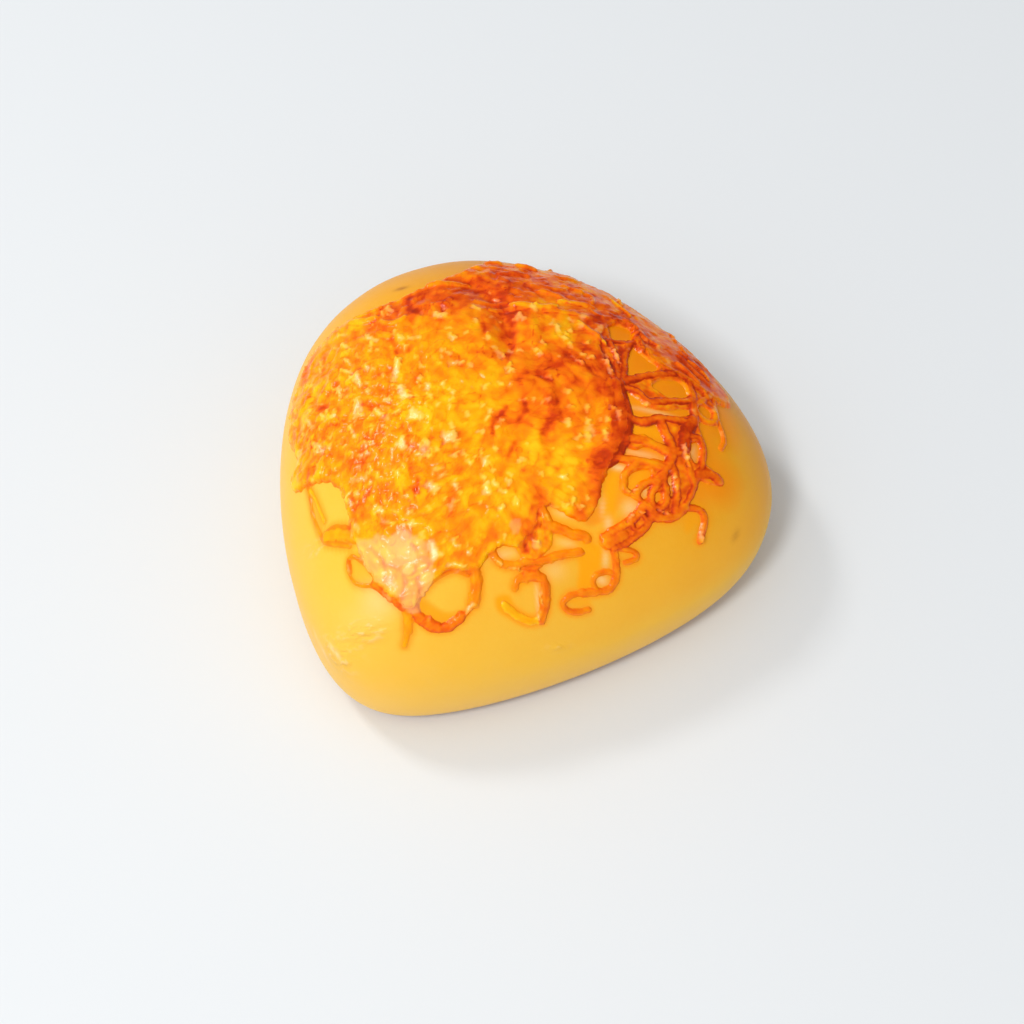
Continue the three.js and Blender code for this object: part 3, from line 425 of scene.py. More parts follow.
def smoothPath(points, step, closed=False):
    # Catmull-Rom curve through the points, about one sample each step mm
    points = np.asarray(points, float)
    if closed:
        knots = np.concatenate([points[-1:], points, points[:2]])
    else:
        knots = np.concatenate([2 * points[:1] - points[1:2], points, 2 * points[-1:] - points[-2:-1]])
    samples = []
    for a, b, c, d in zip(knots[:-3], knots[1:-2], knots[2:-1], knots[3:]):
        count = max(2, int(math.ceil(math.hypot(*(c - b)) / step)))
        t = np.linspace(0, 1, count, endpoint=False)[:, None]
        samples.append(b + 0.5 * t * (c - a + t * (2 * a - 5 * b + 4 * c - d + t * (3 * (b - c) + d - a))))
    return np.concatenate(samples + [points[:1] if closed else points[-1:]])


def areaDistance(u, v, outline, step=1.2):
    # Distance to the edge of a smooth closed outline, positive inside
    loop = smoothPath(outline, step, closed=True)
    inside = np.zeros(u.shape, bool)
    for (au, av), (bu, bv) in zip(loop[:-1], loop[1:]):
        if av != bv:
            inside ^= ((av > v) != (bv > v)) & (u < (bu - au) * (v - av) / (bv - av) + au)
    distance = pathDistance(u, v, loop)[0]
    return np.where(inside, distance, -distance)


def blots(u, v, spots):
    # Sum of soft round patches: amount * exp(-(du / ru)^2 - (dv / rv)^2)
    total = np.zeros(np.shape(u))
    for su, sv, ru, rv, amount in spots:
        total += amount * np.exp(-((u - su) / ru) ** 2 - ((v - sv) / rv) ** 2)
    return total


def zone(u, v, name):
    return np.clip(blots(u, v, cheese[name]), 0, 1)


lattice = 256                                           # noise cells before the random values repeat


def softNoise(u, v, size, seed):
    # Gradient noise of about -1 to 1: random slopes on a lattice, blended by 6t^5 - 15t^4 + 10t^3
    turns = np.random.default_rng(seed).uniform(0, 2 * np.pi, (lattice, lattice))
    x, y = u / size, v / size
    i, j = np.floor(x).astype(int), np.floor(y).astype(int)
    fx, fy = x - i, y - j
    sx, sy = (t * t * t * (t * (t * 6 - 15) + 10) for t in (fx, fy))
    value = 0
    for di in (0, 1):
        for dj in (0, 1):
            turn = turns[(i + di) % lattice, (j + dj) % lattice]
            slope = np.cos(turn) * (fx - di) + np.sin(turn) * (fy - dj)
            value = value + (sx if di else 1 - sx) * (sy if dj else 1 - sy) * slope
    return 1.5 * value


def layered(u, v, layers):
    # Sum of noises: amount, size and seed of each
    return sum(amount * softNoise(u, v, size, seed) for amount, size, seed in layers)


def cells(u, v, size, seed):
    # Cells round one random point in each square: offset from it, gap to the next cell, four random values
    rng = np.random.default_rng(seed)
    spots = rng.uniform(0.08, 0.92, (2, lattice, lattice))
    values = rng.uniform(0, 1, (4, lattice, lattice))
    x, y = u / size, v / size
    i, j = np.floor(x).astype(int), np.floor(y).astype(int)
    near, second = np.full(u.shape, 9.0), np.full(u.shape, 9.0)
    offset, value = np.zeros((2,) + u.shape), np.zeros((4,) + u.shape)
    for di in (-1, 0, 1):
        for dj in (-1, 0, 1):
            ci, cj = (i + di) % lattice, (j + dj) % lattice
            dx, dy = x - i - di - spots[0][ci, cj], y - j - dj - spots[1][ci, cj]
            far = np.hypot(dx, dy)
            closer = far < near
            second = np.where(closer, near, np.minimum(second, far))
            near = np.where(closer, far, near)
            offset = np.where(closer, (dx * size, dy * size), offset)
            value = np.where(closer, values[:, ci, cj], value)
    return offset, (second - near) * size, value


def boxBlur(field, reach):
    # Mean over a square, twice each way, from running sums
    for axis in (0, 1, 0, 1):
        padding = [(reach + 1, reach) if k == axis else (0, 0) for k in (0, 1)]
        sums = np.cumsum(np.pad(field, padding, mode="edge"), axis=axis)
        width = 2 * reach + 1
        high = np.take(sums, np.arange(width, sums.shape[axis]), axis=axis)
        low = np.take(sums, np.arange(0, sums.shape[axis] - width), axis=axis)
        field = (high - low) / width
    return field


def tabulateOutline():
    # Outline by support: h(a) = blend * log(sum(exp((c . n + r) / blend))), as polar angle and radius
    angle = np.linspace(0, 2 * np.pi, 721)
    along = np.stack([np.cos(angle), np.sin(angle)], -1)
    across = np.stack([-np.sin(angle), np.cos(angle)], -1)
    corners, blend = np.array(bread["corners"]), bread["cornerBlend"]
    pull = np.exp((along @ corners[:, :2].T + corners[:, 2]) / blend)
    turn = (pull * (across @ corners[:, :2].T)).sum(1) / pull.sum(1)
    rim = blend * np.log(pull.sum(1))[:, None] * along + turn[:, None] * across
    middle = rim[:-1].mean(0)
    spokes = rim - middle
    centre = middle - (rim.min(0) + rim.max(0)) / 2
    return np.unwrap(np.arctan2(spokes[:, 1], spokes[:, 0])), np.hypot(*spokes.T), centre


def tabulateProfile(meanRadius):
    # Side view over arc length: a superellipse dome, a rounded lower side, then the base to its centre
    quarter = np.linspace(0, np.pi / 2, 201)
    sine, cosine = np.sin(quarter), np.clip(np.cos(quarter), 0, 1)
    lean = cosine ** (2 / bread["domeTop"])
    bulge, foot = bread["bulgeHeight"], bread["baseShare"]
    inward = np.linspace(0, 1, 60)[1:]
    share = np.concatenate([sine ** (2 / bread["domeSide"]),
                            foot + (1 - foot) * cosine[1:] ** (2 / bread["lowerRound"]),
                            foot * (1 - inward)])
    height = np.concatenate([bulge + (bread["height"] - bulge) * lean,
                             bulge * (1 - sine[1:] ** (2 / bread["lowerRound"])),
                             bread["baseHollow"] * np.sin(inward * np.pi / 2) ** 2])
    leans = np.concatenate([lean, np.zeros(len(share) - len(lean))])
    arc = np.concatenate([[0.0], np.cumsum(np.hypot(np.diff(share) * meanRadius, np.diff(height)))])
    return arc, share, leans, height


outlineAngles, outlineRadii, outlineCentre = tabulateOutline()
arcs, shares, leans, heights = tabulateProfile(outlineRadii.mean())


def breadPoint(u, v):
    # Point of the bread under (u, v), mm
    arc, angle = np.hypot(u, v), np.arctan2(v, u)
    turned = np.mod(angle - outlineAngles[0], 2 * np.pi) + outlineAngles[0]
    radius = np.interp(turned, outlineAngles, outlineRadii) * np.interp(arc, arcs, shares)
    lean = np.interp(arc, arcs, leans)
    dip = bread["creaseDepth"] * bell(pathDistance(u, v, bread["creasePath"])[0], bread["creaseReach"])
    swell = bread["swell"] * softNoise(u, v, bread["swellSize"], 3) * np.interp(arc, bread["swellFade"], (1, 0))
    return np.stack([outlineCentre[0] + bread["summitLean"] * lean + radius * np.cos(angle),
                     outlineCentre[1] + radius * np.sin(angle),
                     np.interp(arc, arcs, heights) - dip + swell], -1)


def breadTangents(u, v):
    # Ways along u and along v on the bread, per mm, and the way square to both
    nudge = 0.3
    alongU = (breadPoint(u + nudge, v) - breadPoint(u - nudge, v)) / (2 * nudge)
    alongV = (breadPoint(u, v + nudge) - breadPoint(u, v - nudge)) / (2 * nudge)
    square = np.cross(alongU, alongV)
    return alongU, alongV, square / np.linalg.norm(square, axis=-1, keepdims=True)


def onBread(u, v, lift):
    # Point at a height of lift above the bread, square to its surface
    return breadPoint(u, v) + breadTangents(u, v)[2] * np.asarray(lift)[..., None]


def makePiece(name, points, faceSets, values, material, nodeName, smooth=None):
    # Mesh object from mm points and arrays of faces, with one float attribute for each of values;
    # the first faces are smooth, and all of them where smooth is None
    mesh = bpy.data.meshes.new(name)
    mesh.vertices.add(len(points))
    mesh.vertices.foreach_set("co", (points * metre).astype(np.float32).ravel())
    sizes = np.concatenate([np.full(len(faces), faces.shape[1]) for faces in faceSets])
    mesh.loops.add(int(sizes.sum()))
    corners = np.concatenate([faces.ravel() for faces in faceSets])
    mesh.loops.foreach_set("vertex_index", corners.astype(np.int32))
    mesh.polygons.add(len(sizes))
    mesh.polygons.foreach_set("loop_start", np.concatenate([[0], np.cumsum(sizes)[:-1]]).astype(np.int32))
    mesh.polygons.foreach_set("use_smooth", np.arange(len(sizes)) < (smooth or len(sizes)))
    for key, value in values.items():
        mesh.attributes.new(key, "FLOAT", "POINT").data.foreach_set("value", value.astype(np.float32))
    mesh.update(calc_edges=True)
    mesh.validate()
    mesh.materials.append(material)
    piece = bpy.data.objects.new(name, mesh)
    bpy.context.scene.collection.objects.link(piece)
    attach(piece, "root")
    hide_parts(nodeName)
    print(name, int((sizes - 2).sum()), "triangles")
    return piece


def ringFaces(rings, around):
    # Quads between rings, and triangles to the first and last point
    ring, spoke = np.meshgrid(np.arange(rings - 1), np.arange(around), indexing="ij")
    following = (spoke + 1) % around
    quads = np.stack([1 + ring * around + spoke, 1 + (ring + 1) * around + spoke,
                      1 + (ring + 1) * around + following, 1 + ring * around + following], -1).reshape(-1, 4)
    spoke = np.arange(around)
    following = (spoke + 1) % around
    start = 1 + (rings - 1) * around
    top = np.stack([np.zeros(around, int), 1 + spoke, 1 + following], -1)
    bottom = np.stack([np.full(around, 1 + rings * around), start + following, start + spoke], -1)
    return [quads, top, bottom]


def scatterPieces():
    # Seeded shreds and lumps of the sheet: path, half width, rise, offset, shade and how dark the outline is
    rng = np.random.default_rng(cheese["seed"])
    pieces = []
    for count, zoneName, lengths, halves, rises, heading, spread in cheese["scatter"]:
        u, v = rng.uniform(-58, 58, count), rng.uniform(-48, 52, count)
        chosen = rng.uniform(0, 1, count) < zone(u, v, zoneName)
        for pu, pv in zip(u[chosen], v[chosen]):
            length = rng.uniform(*lengths)
            t = np.linspace(-0.5, 0.5, 9 if length > 4 else 3)
            way = math.radians(heading + rng.uniform(-spread, spread)) + rng.normal(0, 0.7) * t
            path = np.stack([pu + np.cumsum(np.cos(way)) * length / len(t),
                             pv + np.cumsum(np.sin(way)) * length / len(t)], -1)
            pieces.append((path - path.mean(0) + (pu, pv), rng.uniform(*halves), rng.uniform(*rises),
                           rng.uniform(-0.15, 0.15), rng.normal(0, 0.08), rng.uniform(-0.05, 0.25)))
    return pieces


def near(axes, path, reach):
    # The part of the grid within reach of a path
    low, high = path.min(0) - reach, path.max(0) + reach
    spot = tuple(slice(*np.searchsorted(axis, (low[k], high[k]))) for k, axis in enumerate(axes))
    u, v = np.meshgrid(axes[0][spot[0]], axes[1][spot[1]], indexing="ij")
    return spot, u, v


def addScattered(field, pieces):
    # Each piece is a flat strip: rise * (1 - x^4)^(1/2) over the ground, with a darker line along its foot
    lift, ground, brown = field["lift"], field["lift"].copy(), field["brown"]
    for path, half, rise, offset, shade, outline in pieces:
        spot, u, v = near(field["axes"], path, half + 0.7)
        if u.size == 0 or field["edge"][spot].max() < 0.3:
            continue
        distance, along = pathDistance(u, v, path)
        x = distance / (half * (0.7 + 0.6 * np.sqrt(np.clip(along * (1 - along), 0, 1))))
        body = np.where(x < 1, np.sqrt(np.clip(1 - x ** 4, 0, 1)) * rise, (1 - x) * 1.2)
        cover = ground[spot] * (1 - field["thin"][spot]) + offset + body
        cover = np.where(field["edge"][spot] > -0.7, cover, -2)
        taken = crossing(cover - lift[spot], 0.25)
        lift[spot] = smoothMax(lift[spot], cover, 0.08)
        rim = bell(x - 1.05, 0.22) * field["crisp"][spot] * (field["edge"][spot] > 0)
        brown[spot] += taken * shade + outline * rim * np.clip(0.5 + 2.2 * softNoise(u, v, 1.4, 77), 0, 1.3)


def addShreds(field):
    # The listed shreds lie on the bread, ragged at their sides and browner there. Across one the relief is
    # tall * (1 - x^2.4)^(0.8 to 1.4) for x = distance / girth; the yellower a shred, the softer and flatter
    lift, brown = field["lift"], field["brown"]
    ground = 0.75 * np.clip(boxBlur(lift, 2), 0, 1.2)
    for number, (width, shade, points) in enumerate(cheese["shreds"]):
        path, half = smoothPath(points, cheese["pathStep"]), width / 2
        spot, u, v = near(field["axes"], path, half + 1.5)
        distance = pathDistance(u, v, path)[0]
        coarse, fine, rolling, patchy = (
            softNoise(u, v, size, first + number) for size, first in cheese["shredNoises"])
        soft = np.clip((0.62 - shade) / 0.16, 0, 1)
        girth = half * (1 + 0.14 * (1 - soft) + 0.28 * coarse + 0.16 * fine)
        fine = fine * (1 - 0.8 * soft)
        x = distance / girth
        tall = width * (cheese["shredFlatness"] - 0.16 * soft) * (1 + 0.3 * rolling + 0.12 * fine)
        tall = cheese["shredTallest"] * np.tanh(tall / cheese["shredTallest"]) * min(0.3 + 2.5 * shade, 1)
        tall = tall * (1 - 0.55 * np.clip(ground[spot] / 0.6, 0, 1))
        groove = 1 - 0.22 * np.clip(width - 1.2, 0, 1) * bell(x, 0.4)
        body = np.clip(1 - x ** 2.4, 0, 1) ** (0.8 + 0.6 * soft) * tall * groove
        body = np.where(x < 1, body, (1 - x) * girth * 0.9) + ground[spot]
        rim = np.clip(2.0 * (shade - 0.50), -0.03, 0.50)
        toned = shade + 0.03 * soft + rim * (np.clip(x, 0, 1) ** 2 - 0.15) + 0.14 * patchy - 0.06 * fine
        taken = crossing(body - lift[spot], 0.3)
        lift[spot] = smoothMax(lift[spot], body, 0.12)
        brown[spot] += taken * (toned - brown[spot])
        field["reach"][spot] = np.minimum(field["reach"][spot], distance - half)


def addFacets(field, size, seed, amount, steepest):
    # Tilted tiles: each cell is a plane of its own slope that fades out to the seam with the next one
    u, v = field["u"], field["v"]
    warpU, warpV = (0.3 * size * softNoise(u, v, 1.7 * size, seed + k) for k in (0, 1))
    offset, gap, value = cells(u + warpU, v + warpV, size, seed)
    way, slope = 2 * np.pi * value[0], steepest * value[1]
    plane = slope * (np.cos(way) * offset[0] + np.sin(way) * offset[1])
    field["lift"] += amount * np.clip(gap / (0.25 * size), 0, 1) * plane
    seam = bell(gap, 0.2) * (value[3] > 0.55) * field["crisp"]
    field["brown"] += amount * (0.14 * (value[2] - 0.5) + 0.18 * seam)


def sheetShards():
    # The listed shards and the seeded small ones
    rng = np.random.default_rng(cheese["seed"] + 1)
    shards = list(cheese["shards"])
    for _ in range(cheese["scatteredShards"]):
        u, v = rng.uniform(-56, 34), rng.uniform(-44, 34)
        length, width, heading = rng.uniform(0.6, 2.2), rng.uniform(0.5, 1.3), rng.uniform(0, 180)
        if rng.uniform() < zone(u, v, "grainy") + 0.35 * zone(u, v, "pooled"):
            shards.append((u, v, length, width, heading))
    return shards


def addShards(field, shards, steepest):
    # Flat wet shards, each a plane square to the way a lamp is mirrored in it, but no steeper than given; each
    # is also painted paler and cream, a painted glint over partly pale cheese
    for number, (su, sv, length, width, heading) in enumerate(shards):
        spot, u, v = near(field["axes"], np.array([[su, sv]]), length / 2 + 0.3)
        if u.size == 0:
            continue
        middle = tuple(k // 2 for k in u.shape)
        slopes = [[s[spot][middle] for s in pair] for pair in field["slopes"]]
        slopeU, slopeV = min(slopes, key=lambda pair: math.hypot(*pair))
        if field["lift"][spot][middle] < 0.15:
            continue
        turn = math.radians(heading)
        along = (u - su) * math.cos(turn) + (v - sv) * math.sin(turn)
        across = (v - sv) * math.cos(turn) - (u - su) * math.sin(turn)
        half = width / 2 * (1 + 0.45 * math.sin(5 * number) * 2 * along / length)
        inward = np.minimum(length / 2 - np.abs(along), half - np.abs(across))
        inward = inward + 0.45 * softNoise(u, v, 0.8, 64)
        share = np.clip(inward / 0.3 + 0.4, 0, 1)
        plane = (field["lift"][spot] * share).sum() / max(share.sum(), 1e-6) + 0.1
        plane = plane + np.clip(slopeU * (u - su) + slopeV * (v - sv), -0.7, 0.7)
        if math.hypot(slopeU, slopeV) < steepest / max(width, 1):
            field["lift"][spot] += share * (plane - field["lift"][spot])
        # Painted highlight: a cream tint and less brown on each shard, partly pale cheese and partly a painted
        # glint
        tintShare = min(0.04 + 0.11 * math.sqrt(length * width), 0.30) * np.clip(inward / 0.5 + 0.3, 0, 1)
        tintShare = tintShare * np.clip(0.75 + softNoise(u, v, 1.6, 65), 0, 1)
        field["pale"][spot] = np.maximum(field["pale"][spot], tintShare)
        field["brown"][spot] -= 0.12 * share


def addVeins(field):
    # Seams of the melt: darker and slightly sunken lines
    for width, amount, points in cheese["veins"]:
        path = smoothPath(points, cheese["pathStep"])
        spot, u, v = near(field["axes"], path, width * 1.5)
        distance = pathDistance(u, v, path)[0] + 0.35 * width * softNoise(u, v, 1.6, 75)
        deep = bell(distance, 0.6 * width)
        field["lift"][spot] -= 0.12 * deep
        field["brown"][spot] += amount * deep


def mirrorWay(points, azimuth, elevation, distance):
    # The way a surface faces at these points (mm) where the camera sees that lamp mirrored in it
    half = 0
    for place in (distance * direction(azimuth, elevation), cameraPlace):
        toward = place / metre - points
        half = half + toward / np.linalg.norm(toward, axis=-1, keepdims=True)
    return half / np.linalg.norm(half, axis=-1, keepdims=True)


def mirrorSlopes(u, v):
    # For each lamp, the slopes along u and v that a flat shard needs to mirror it into the camera
    alongU, alongV, square = breadTangents(u, v)
    points = breadPoint(u, v)
    slopes = []
    for azimuth, elevation, distance, *_ in lights.values():
        facing = mirrorWay(points, azimuth, elevation, distance)
        across = np.clip((square * facing).sum(-1), 0.2, 1)
        slopes.append([-(along * facing).sum(-1) / across for along in (alongU, alongV)])
    return slopes


def meltLift(distance, depth, roundness):
    # Melt with a rounded edge, depth * (1 - exp(-distance / roundness)), that slopes into the bread outside
    melt = depth * (1 - np.exp(-np.clip(distance, 0, None) / roundness))
    return np.where(distance > 0, melt, np.maximum(1.6 * distance, -3))


def webDistance(axes, u, v, ragged):
    # Distance to the edge of the thin web and its holes, positive on the web
    web = areaDistance(u, v, cheese["web"])
    for outline in cheese["melts"]:
        spot, mu, mv = near(axes, np.array(outline), 4)
        web[spot] = np.maximum(web[spot], areaDistance(mu, mv, outline))
    web += 0.6 * ragged
    for hole in cheese["holes"]:
        spot, hu, hv = near(axes, np.array(hole), 3)
        web[spot] = np.minimum(web[spot], 0.5 * ragged[spot] - areaDistance(hu, hv, hole, 0.6))
    return web


def meltedCheese(uAxis, vAxis):
    # Lift of the cheese over the bread on a grid, with its browning
    axes, cell = (uAxis, vAxis), uAxis[1] - uAxis[0]
    u, v = np.meshgrid(uAxis, vAxis, indexing="ij")
    grainy, ropey, folded, pooled, thin = (
        zone(u, v, name) for name in ("grainy", "ropey", "folded", "pooled", "thin"))
    ragged = layered(u, v, cheese["ragged"])
    edge = areaDistance(u, v, cheese["edge"]) + ragged
    web = webDistance(axes, u, v, ragged)

    # The sheet, thicker at its brim and browner along curved lines and at its edge
    depth = cheese["depth"] * (1 + 0.3 * softNoise(u, v, 6, 8)) * (1 - 0.75 * thin)
    lift = meltLift(edge, depth, cheese["edgeRound"]) + 0.3 * bell(edge - 0.9, 0.7)
    brown = cheese["brownBase"] + blots(u, v, cheese["browned"]) - blots(u, v, cheese["yellow"])
    line = 1 - np.abs(softNoise(u + 1.5 * softNoise(u, v, 3, 51), v + 1.5 * softNoise(u, v, 3, 52), 5, 53))
    brown += layered(u, v, cheese["mottle"]) + 0.14 * (line ** 8 - 0.2) * (1 - grainy)
    brown += 0.18 * np.exp(-np.clip(edge, 0, None) / cheese["edgeRound"]) * (edge > -1)

    # The web, with a browner ridge along its edges
    ridge = bell(web - 0.5, 0.4) * np.clip((u - 16) / 8, 0.15, 1)
    webDepth = cheese["webDepth"] * (1 + 0.5 * softNoise(u, v, 1.7, 61))
    webLift = meltLift(web, webDepth, cheese["webRound"]) + 0.3 * ridge
    webBrown = cheese["webBrown"] - 0.12 * np.clip((24 - u) / 8, 0, 1) + 0.24 * ridge
    webBrown = webBrown + layered(u, v, cheese["webMottle"])
    brown += crossing(webLift - lift, 0.2) * (edge < 1) * (webBrown - brown)

    field = {"axes": axes, "u": u, "v": v, "edge": edge, "web": web, "thin": thin,
             "lift": smoothMax(lift, webLift, 0.1), "brown": brown, "pale": np.zeros(u.shape),
             "reach": np.full(u.shape, 9.0), "slopes": mirrorSlopes(u, v),
             "crisp": np.clip(grainy + ropey + folded + 0.8 * pooled, 0, 1)}
    # pale thin melt with painted highlights on it
    for amount, outline in cheese["creamyAndHighlit"]:
        spot, cu, cv = near(axes, np.array(outline), 1)
        creamAndHighlight = amount * crossing(areaDistance(cu, cv, outline, 0.5) + 1.2 * ragged[spot], 0.7)
        field["pale"][spot] = np.maximum(field["pale"][spot], creamAndHighlight)

    # Shreds melted into the sheet: less sharp where it is pooled than where it is ropey or folded
    addScattered(field, scattered)
    sharp = np.clip(0.2 + 0.5 * grainy + 0.9 * ropey + 0.8 * folded + 0.2 * pooled, 0, 1)
    blurred = boxBlur(field["lift"], max(1, int(round(0.5 / cell))))
    field["lift"] = blurred + (field["lift"] - blurred) * np.where(edge > 0.8, sharp, 1)

    # Surface of the sheet, then the separate shreds on it
    onSheet = np.clip(edge / 0.8, 0, 1) * np.clip(field["lift"] / 0.6, 0, 1)
    for size, seed, always, onGrainy, onFolded, steepest in cheese["facets"]:
        addFacets(field, size, seed, onSheet * (always + onGrainy * grainy + onFolded * folded), steepest)
    size, seed, amount, steepest = cheese["speckles"]
    addFacets(field, size, seed, onSheet * amount * zone(u, v, "speckled"), steepest)
    addVeins(field)
    addShards(field, sheetShards(), 1.0)
    lumps = 0.05 + 0.15 * pooled * (1 - grainy)
    field["lift"] += onSheet * (lumps * softNoise(u, v, 2.6, 31) + 0.03 * softNoise(u, v, 1.2, 32))
    addShreds(field)
    addShards(field, cheese["glints"], 1.4)

    # Hollows are browner, partly thicker melt and partly painted shade in the recesses, and crests paler; the
    # last step softens the relief a little
    lift, brown = field["lift"], field["brown"]
    hollowShade = boxBlur(lift, int(round(1.1 / cell))) - lift
    onWeb = np.clip(web + 1, 0, 1) * np.clip(1 - edge, 0, 1)
    brown += np.clip(hollowShade / 0.4, -0.7, 1.2) * (0.15 + 0.12 * onWeb)
    field["lift"] = lift + 0.35 * (boxBlur(lift, 1) - lift)
    field["brown"] = np.clip(brown, 0, 1)
    return field


def cornerMax(field):
    # Largest value at the four corners of each cell
    return np.maximum(np.maximum(field[:-1, :-1], field[1:, :-1]), np.maximum(field[:-1, 1:], field[1:, 1:]))


def closedRelief(field, keep):
    # Closed solid over the kept cells: relief above, a coarse sunken underside, and walls round them
    for _ in range(3):
        a, b, c, d = keep[:-1, :-1], keep[1:, :-1], keep[:-1, 1:], keep[1:, 1:]
        crossed = (a & d & ~b & ~c) | (b & c & ~a & ~d)
        for block in (a, b, c, d):
            block |= crossed
    uAxis, vAxis = field["axes"]
    number = np.arange(len(uAxis) * len(vAxis)).reshape(len(uAxis), len(vAxis))
    i, j = np.nonzero(keep)
    top = np.stack([number[i, j], number[i + 1, j], number[i + 1, j + 1], number[i, j + 1]], -1)
    padded = np.pad(keep, 1)
    walls = []
    for di, dj, first, second in ((0, -1, (0, 0), (1, 0)), (1, 0, (1, 0), (1, 1)),
                                  (0, 1, (1, 1), (0, 1)), (-1, 0, (0, 1), (0, 0))):
        bare = ~padded[i + 1 + di, j + 1 + dj]
        a = number[i[bare] + first[0], j[bare] + first[1]]
        b = number[i[bare] + second[0], j[bare] + second[1]]
        walls.append(np.stack([b, a, a + number.size, b + number.size], -1))
    # Underside: square blocks that are kept whole become one face each, with every grid point on its rim
    size = 10
    rows, columns = keep.shape[0] // size, keep.shape[1] // size
    whole = keep[:rows * size, :columns * size].reshape(rows, size, columns, size).all((1, 3))
    fine = keep.copy()
    fine[:rows * size, :columns * size] &= ~np.repeat(np.repeat(whole, size, 0), size, 1)
    i, j = np.nonzero(fine)
    under = np.stack([number[i, j], number[i, j + 1], number[i + 1, j + 1], number[i + 1, j]], -1)
    side = np.arange(size)
    start, stop = 0 * side, 0 * side + size
    rim = np.concatenate([np.stack(pair, -1) for pair in (
        (start, side), (side, stop), (stop, size - side), (size - side, start))])
    bi, bj = (k * size for k in np.nonzero(whole))
    blocks = number[bi[:, None] + rim[:, 0], bj[:, None] + rim[:, 1]]
    faceSets = [np.concatenate([top, under + number.size] + walls), blocks + number.size]
    used, order = np.unique(np.concatenate([faces.ravel() for faces in faceSets]), return_inverse=True)
    split = faceSets[0].size
    faceSets = [order[:split].reshape(-1, 4), order[split:].reshape(-1, 4 * size)]
    below, cell = used >= number.size, used % number.size
    rise = np.where(below, -cheese["sunk"], np.maximum(field["lift"].ravel()[cell], -0.4))
    points = onBread(field["u"].ravel()[cell], field["v"].ravel()[cell], rise)
    values = {"brown": field["brown"].ravel()[cell],
              "pale": np.clip(field["pale"].ravel()[cell], 0, 1),
              "thin": bell(np.clip(field["lift"].ravel()[cell], 0, None), 0.14)}
    return {"points": points, "faceSets": faceSets, "values": values, "smooth": len(top)}


def sampleGrid(values, axes, u, v, outside):
    # Bilinear value of a grid at any (u, v)
    (u0, u1), (v0, v1) = ((axis[0], axis[1]) for axis in axes)
    x, y = (u - u0) / (u1 - u0), (v - v0) / (v1 - v0)
    high = [len(axis) - 1.001 for axis in axes]
    beyond = (x < 0) | (y < 0) | (x > high[0]) | (y > high[1])
    x, y = np.clip(x, 0, high[0]), np.clip(y, 0, high[1])
    i, j = x.astype(int), y.astype(int)
    fx, fy = x - i, y - j
    value = (values[i, j] * (1 - fx) * (1 - fy) + values[i + 1, j] * fx * (1 - fy)
             + values[i, j + 1] * (1 - fx) * fy + values[i + 1, j + 1] * fx * fy)
    return np.where(beyond, outside, value)


def addNode(material, kind, settings=None, inputs=None, stops=None):
    # Adds a node: settings are its properties, inputs are values or (node, output) links, stops fill a ramp
    node = material.node_tree.nodes.new(kind)
    for key, value in (settings or {}).items():
        setattr(node, key, value)
    for key, value in (inputs or {}).items():
        if isinstance(value, tuple) and isinstance(value[0], bpy.types.Node):
            material.node_tree.links.new(value[0].outputs[value[1]], node.inputs[key])
        else:
            node.inputs[key].default_value = value
    for number, (place, colour) in enumerate(stops or ()):
        ramp = node.color_ramp.elements
        element = ramp[number] if number < 2 else ramp.new(place)
        element.position, element.color = place, toLinear(colour)
    return node


def readAttribute(material, name):
    return addNode(material, "ShaderNodeAttribute", {"attribute_name": name}), "Fac"


def combine(material, operation, *values):
    return addNode(material, "ShaderNodeMath", {"operation": operation}, dict(enumerate(values))), "Value"


def noise(material, place, scale, detail, roughness):
    return addNode(material, "ShaderNodeTexNoise", inputs={
        "Vector": place, "Scale": scale, "Detail": detail, "Roughness": roughness}), "Fac"


def mixColour(material, amount, below, colour):
    # The colour laid over what is below, by amount
    return addNode(material, "ShaderNodeMix", {"data_type": "RGBA"}, {
        "Factor": amount, "A": below, "B": toLinear(colour)}), "Result"


def newMaterial(name):
    material = bpy.data.materials.new(name)
    material.use_nodes = True
    material.node_tree.nodes.clear()
    return material


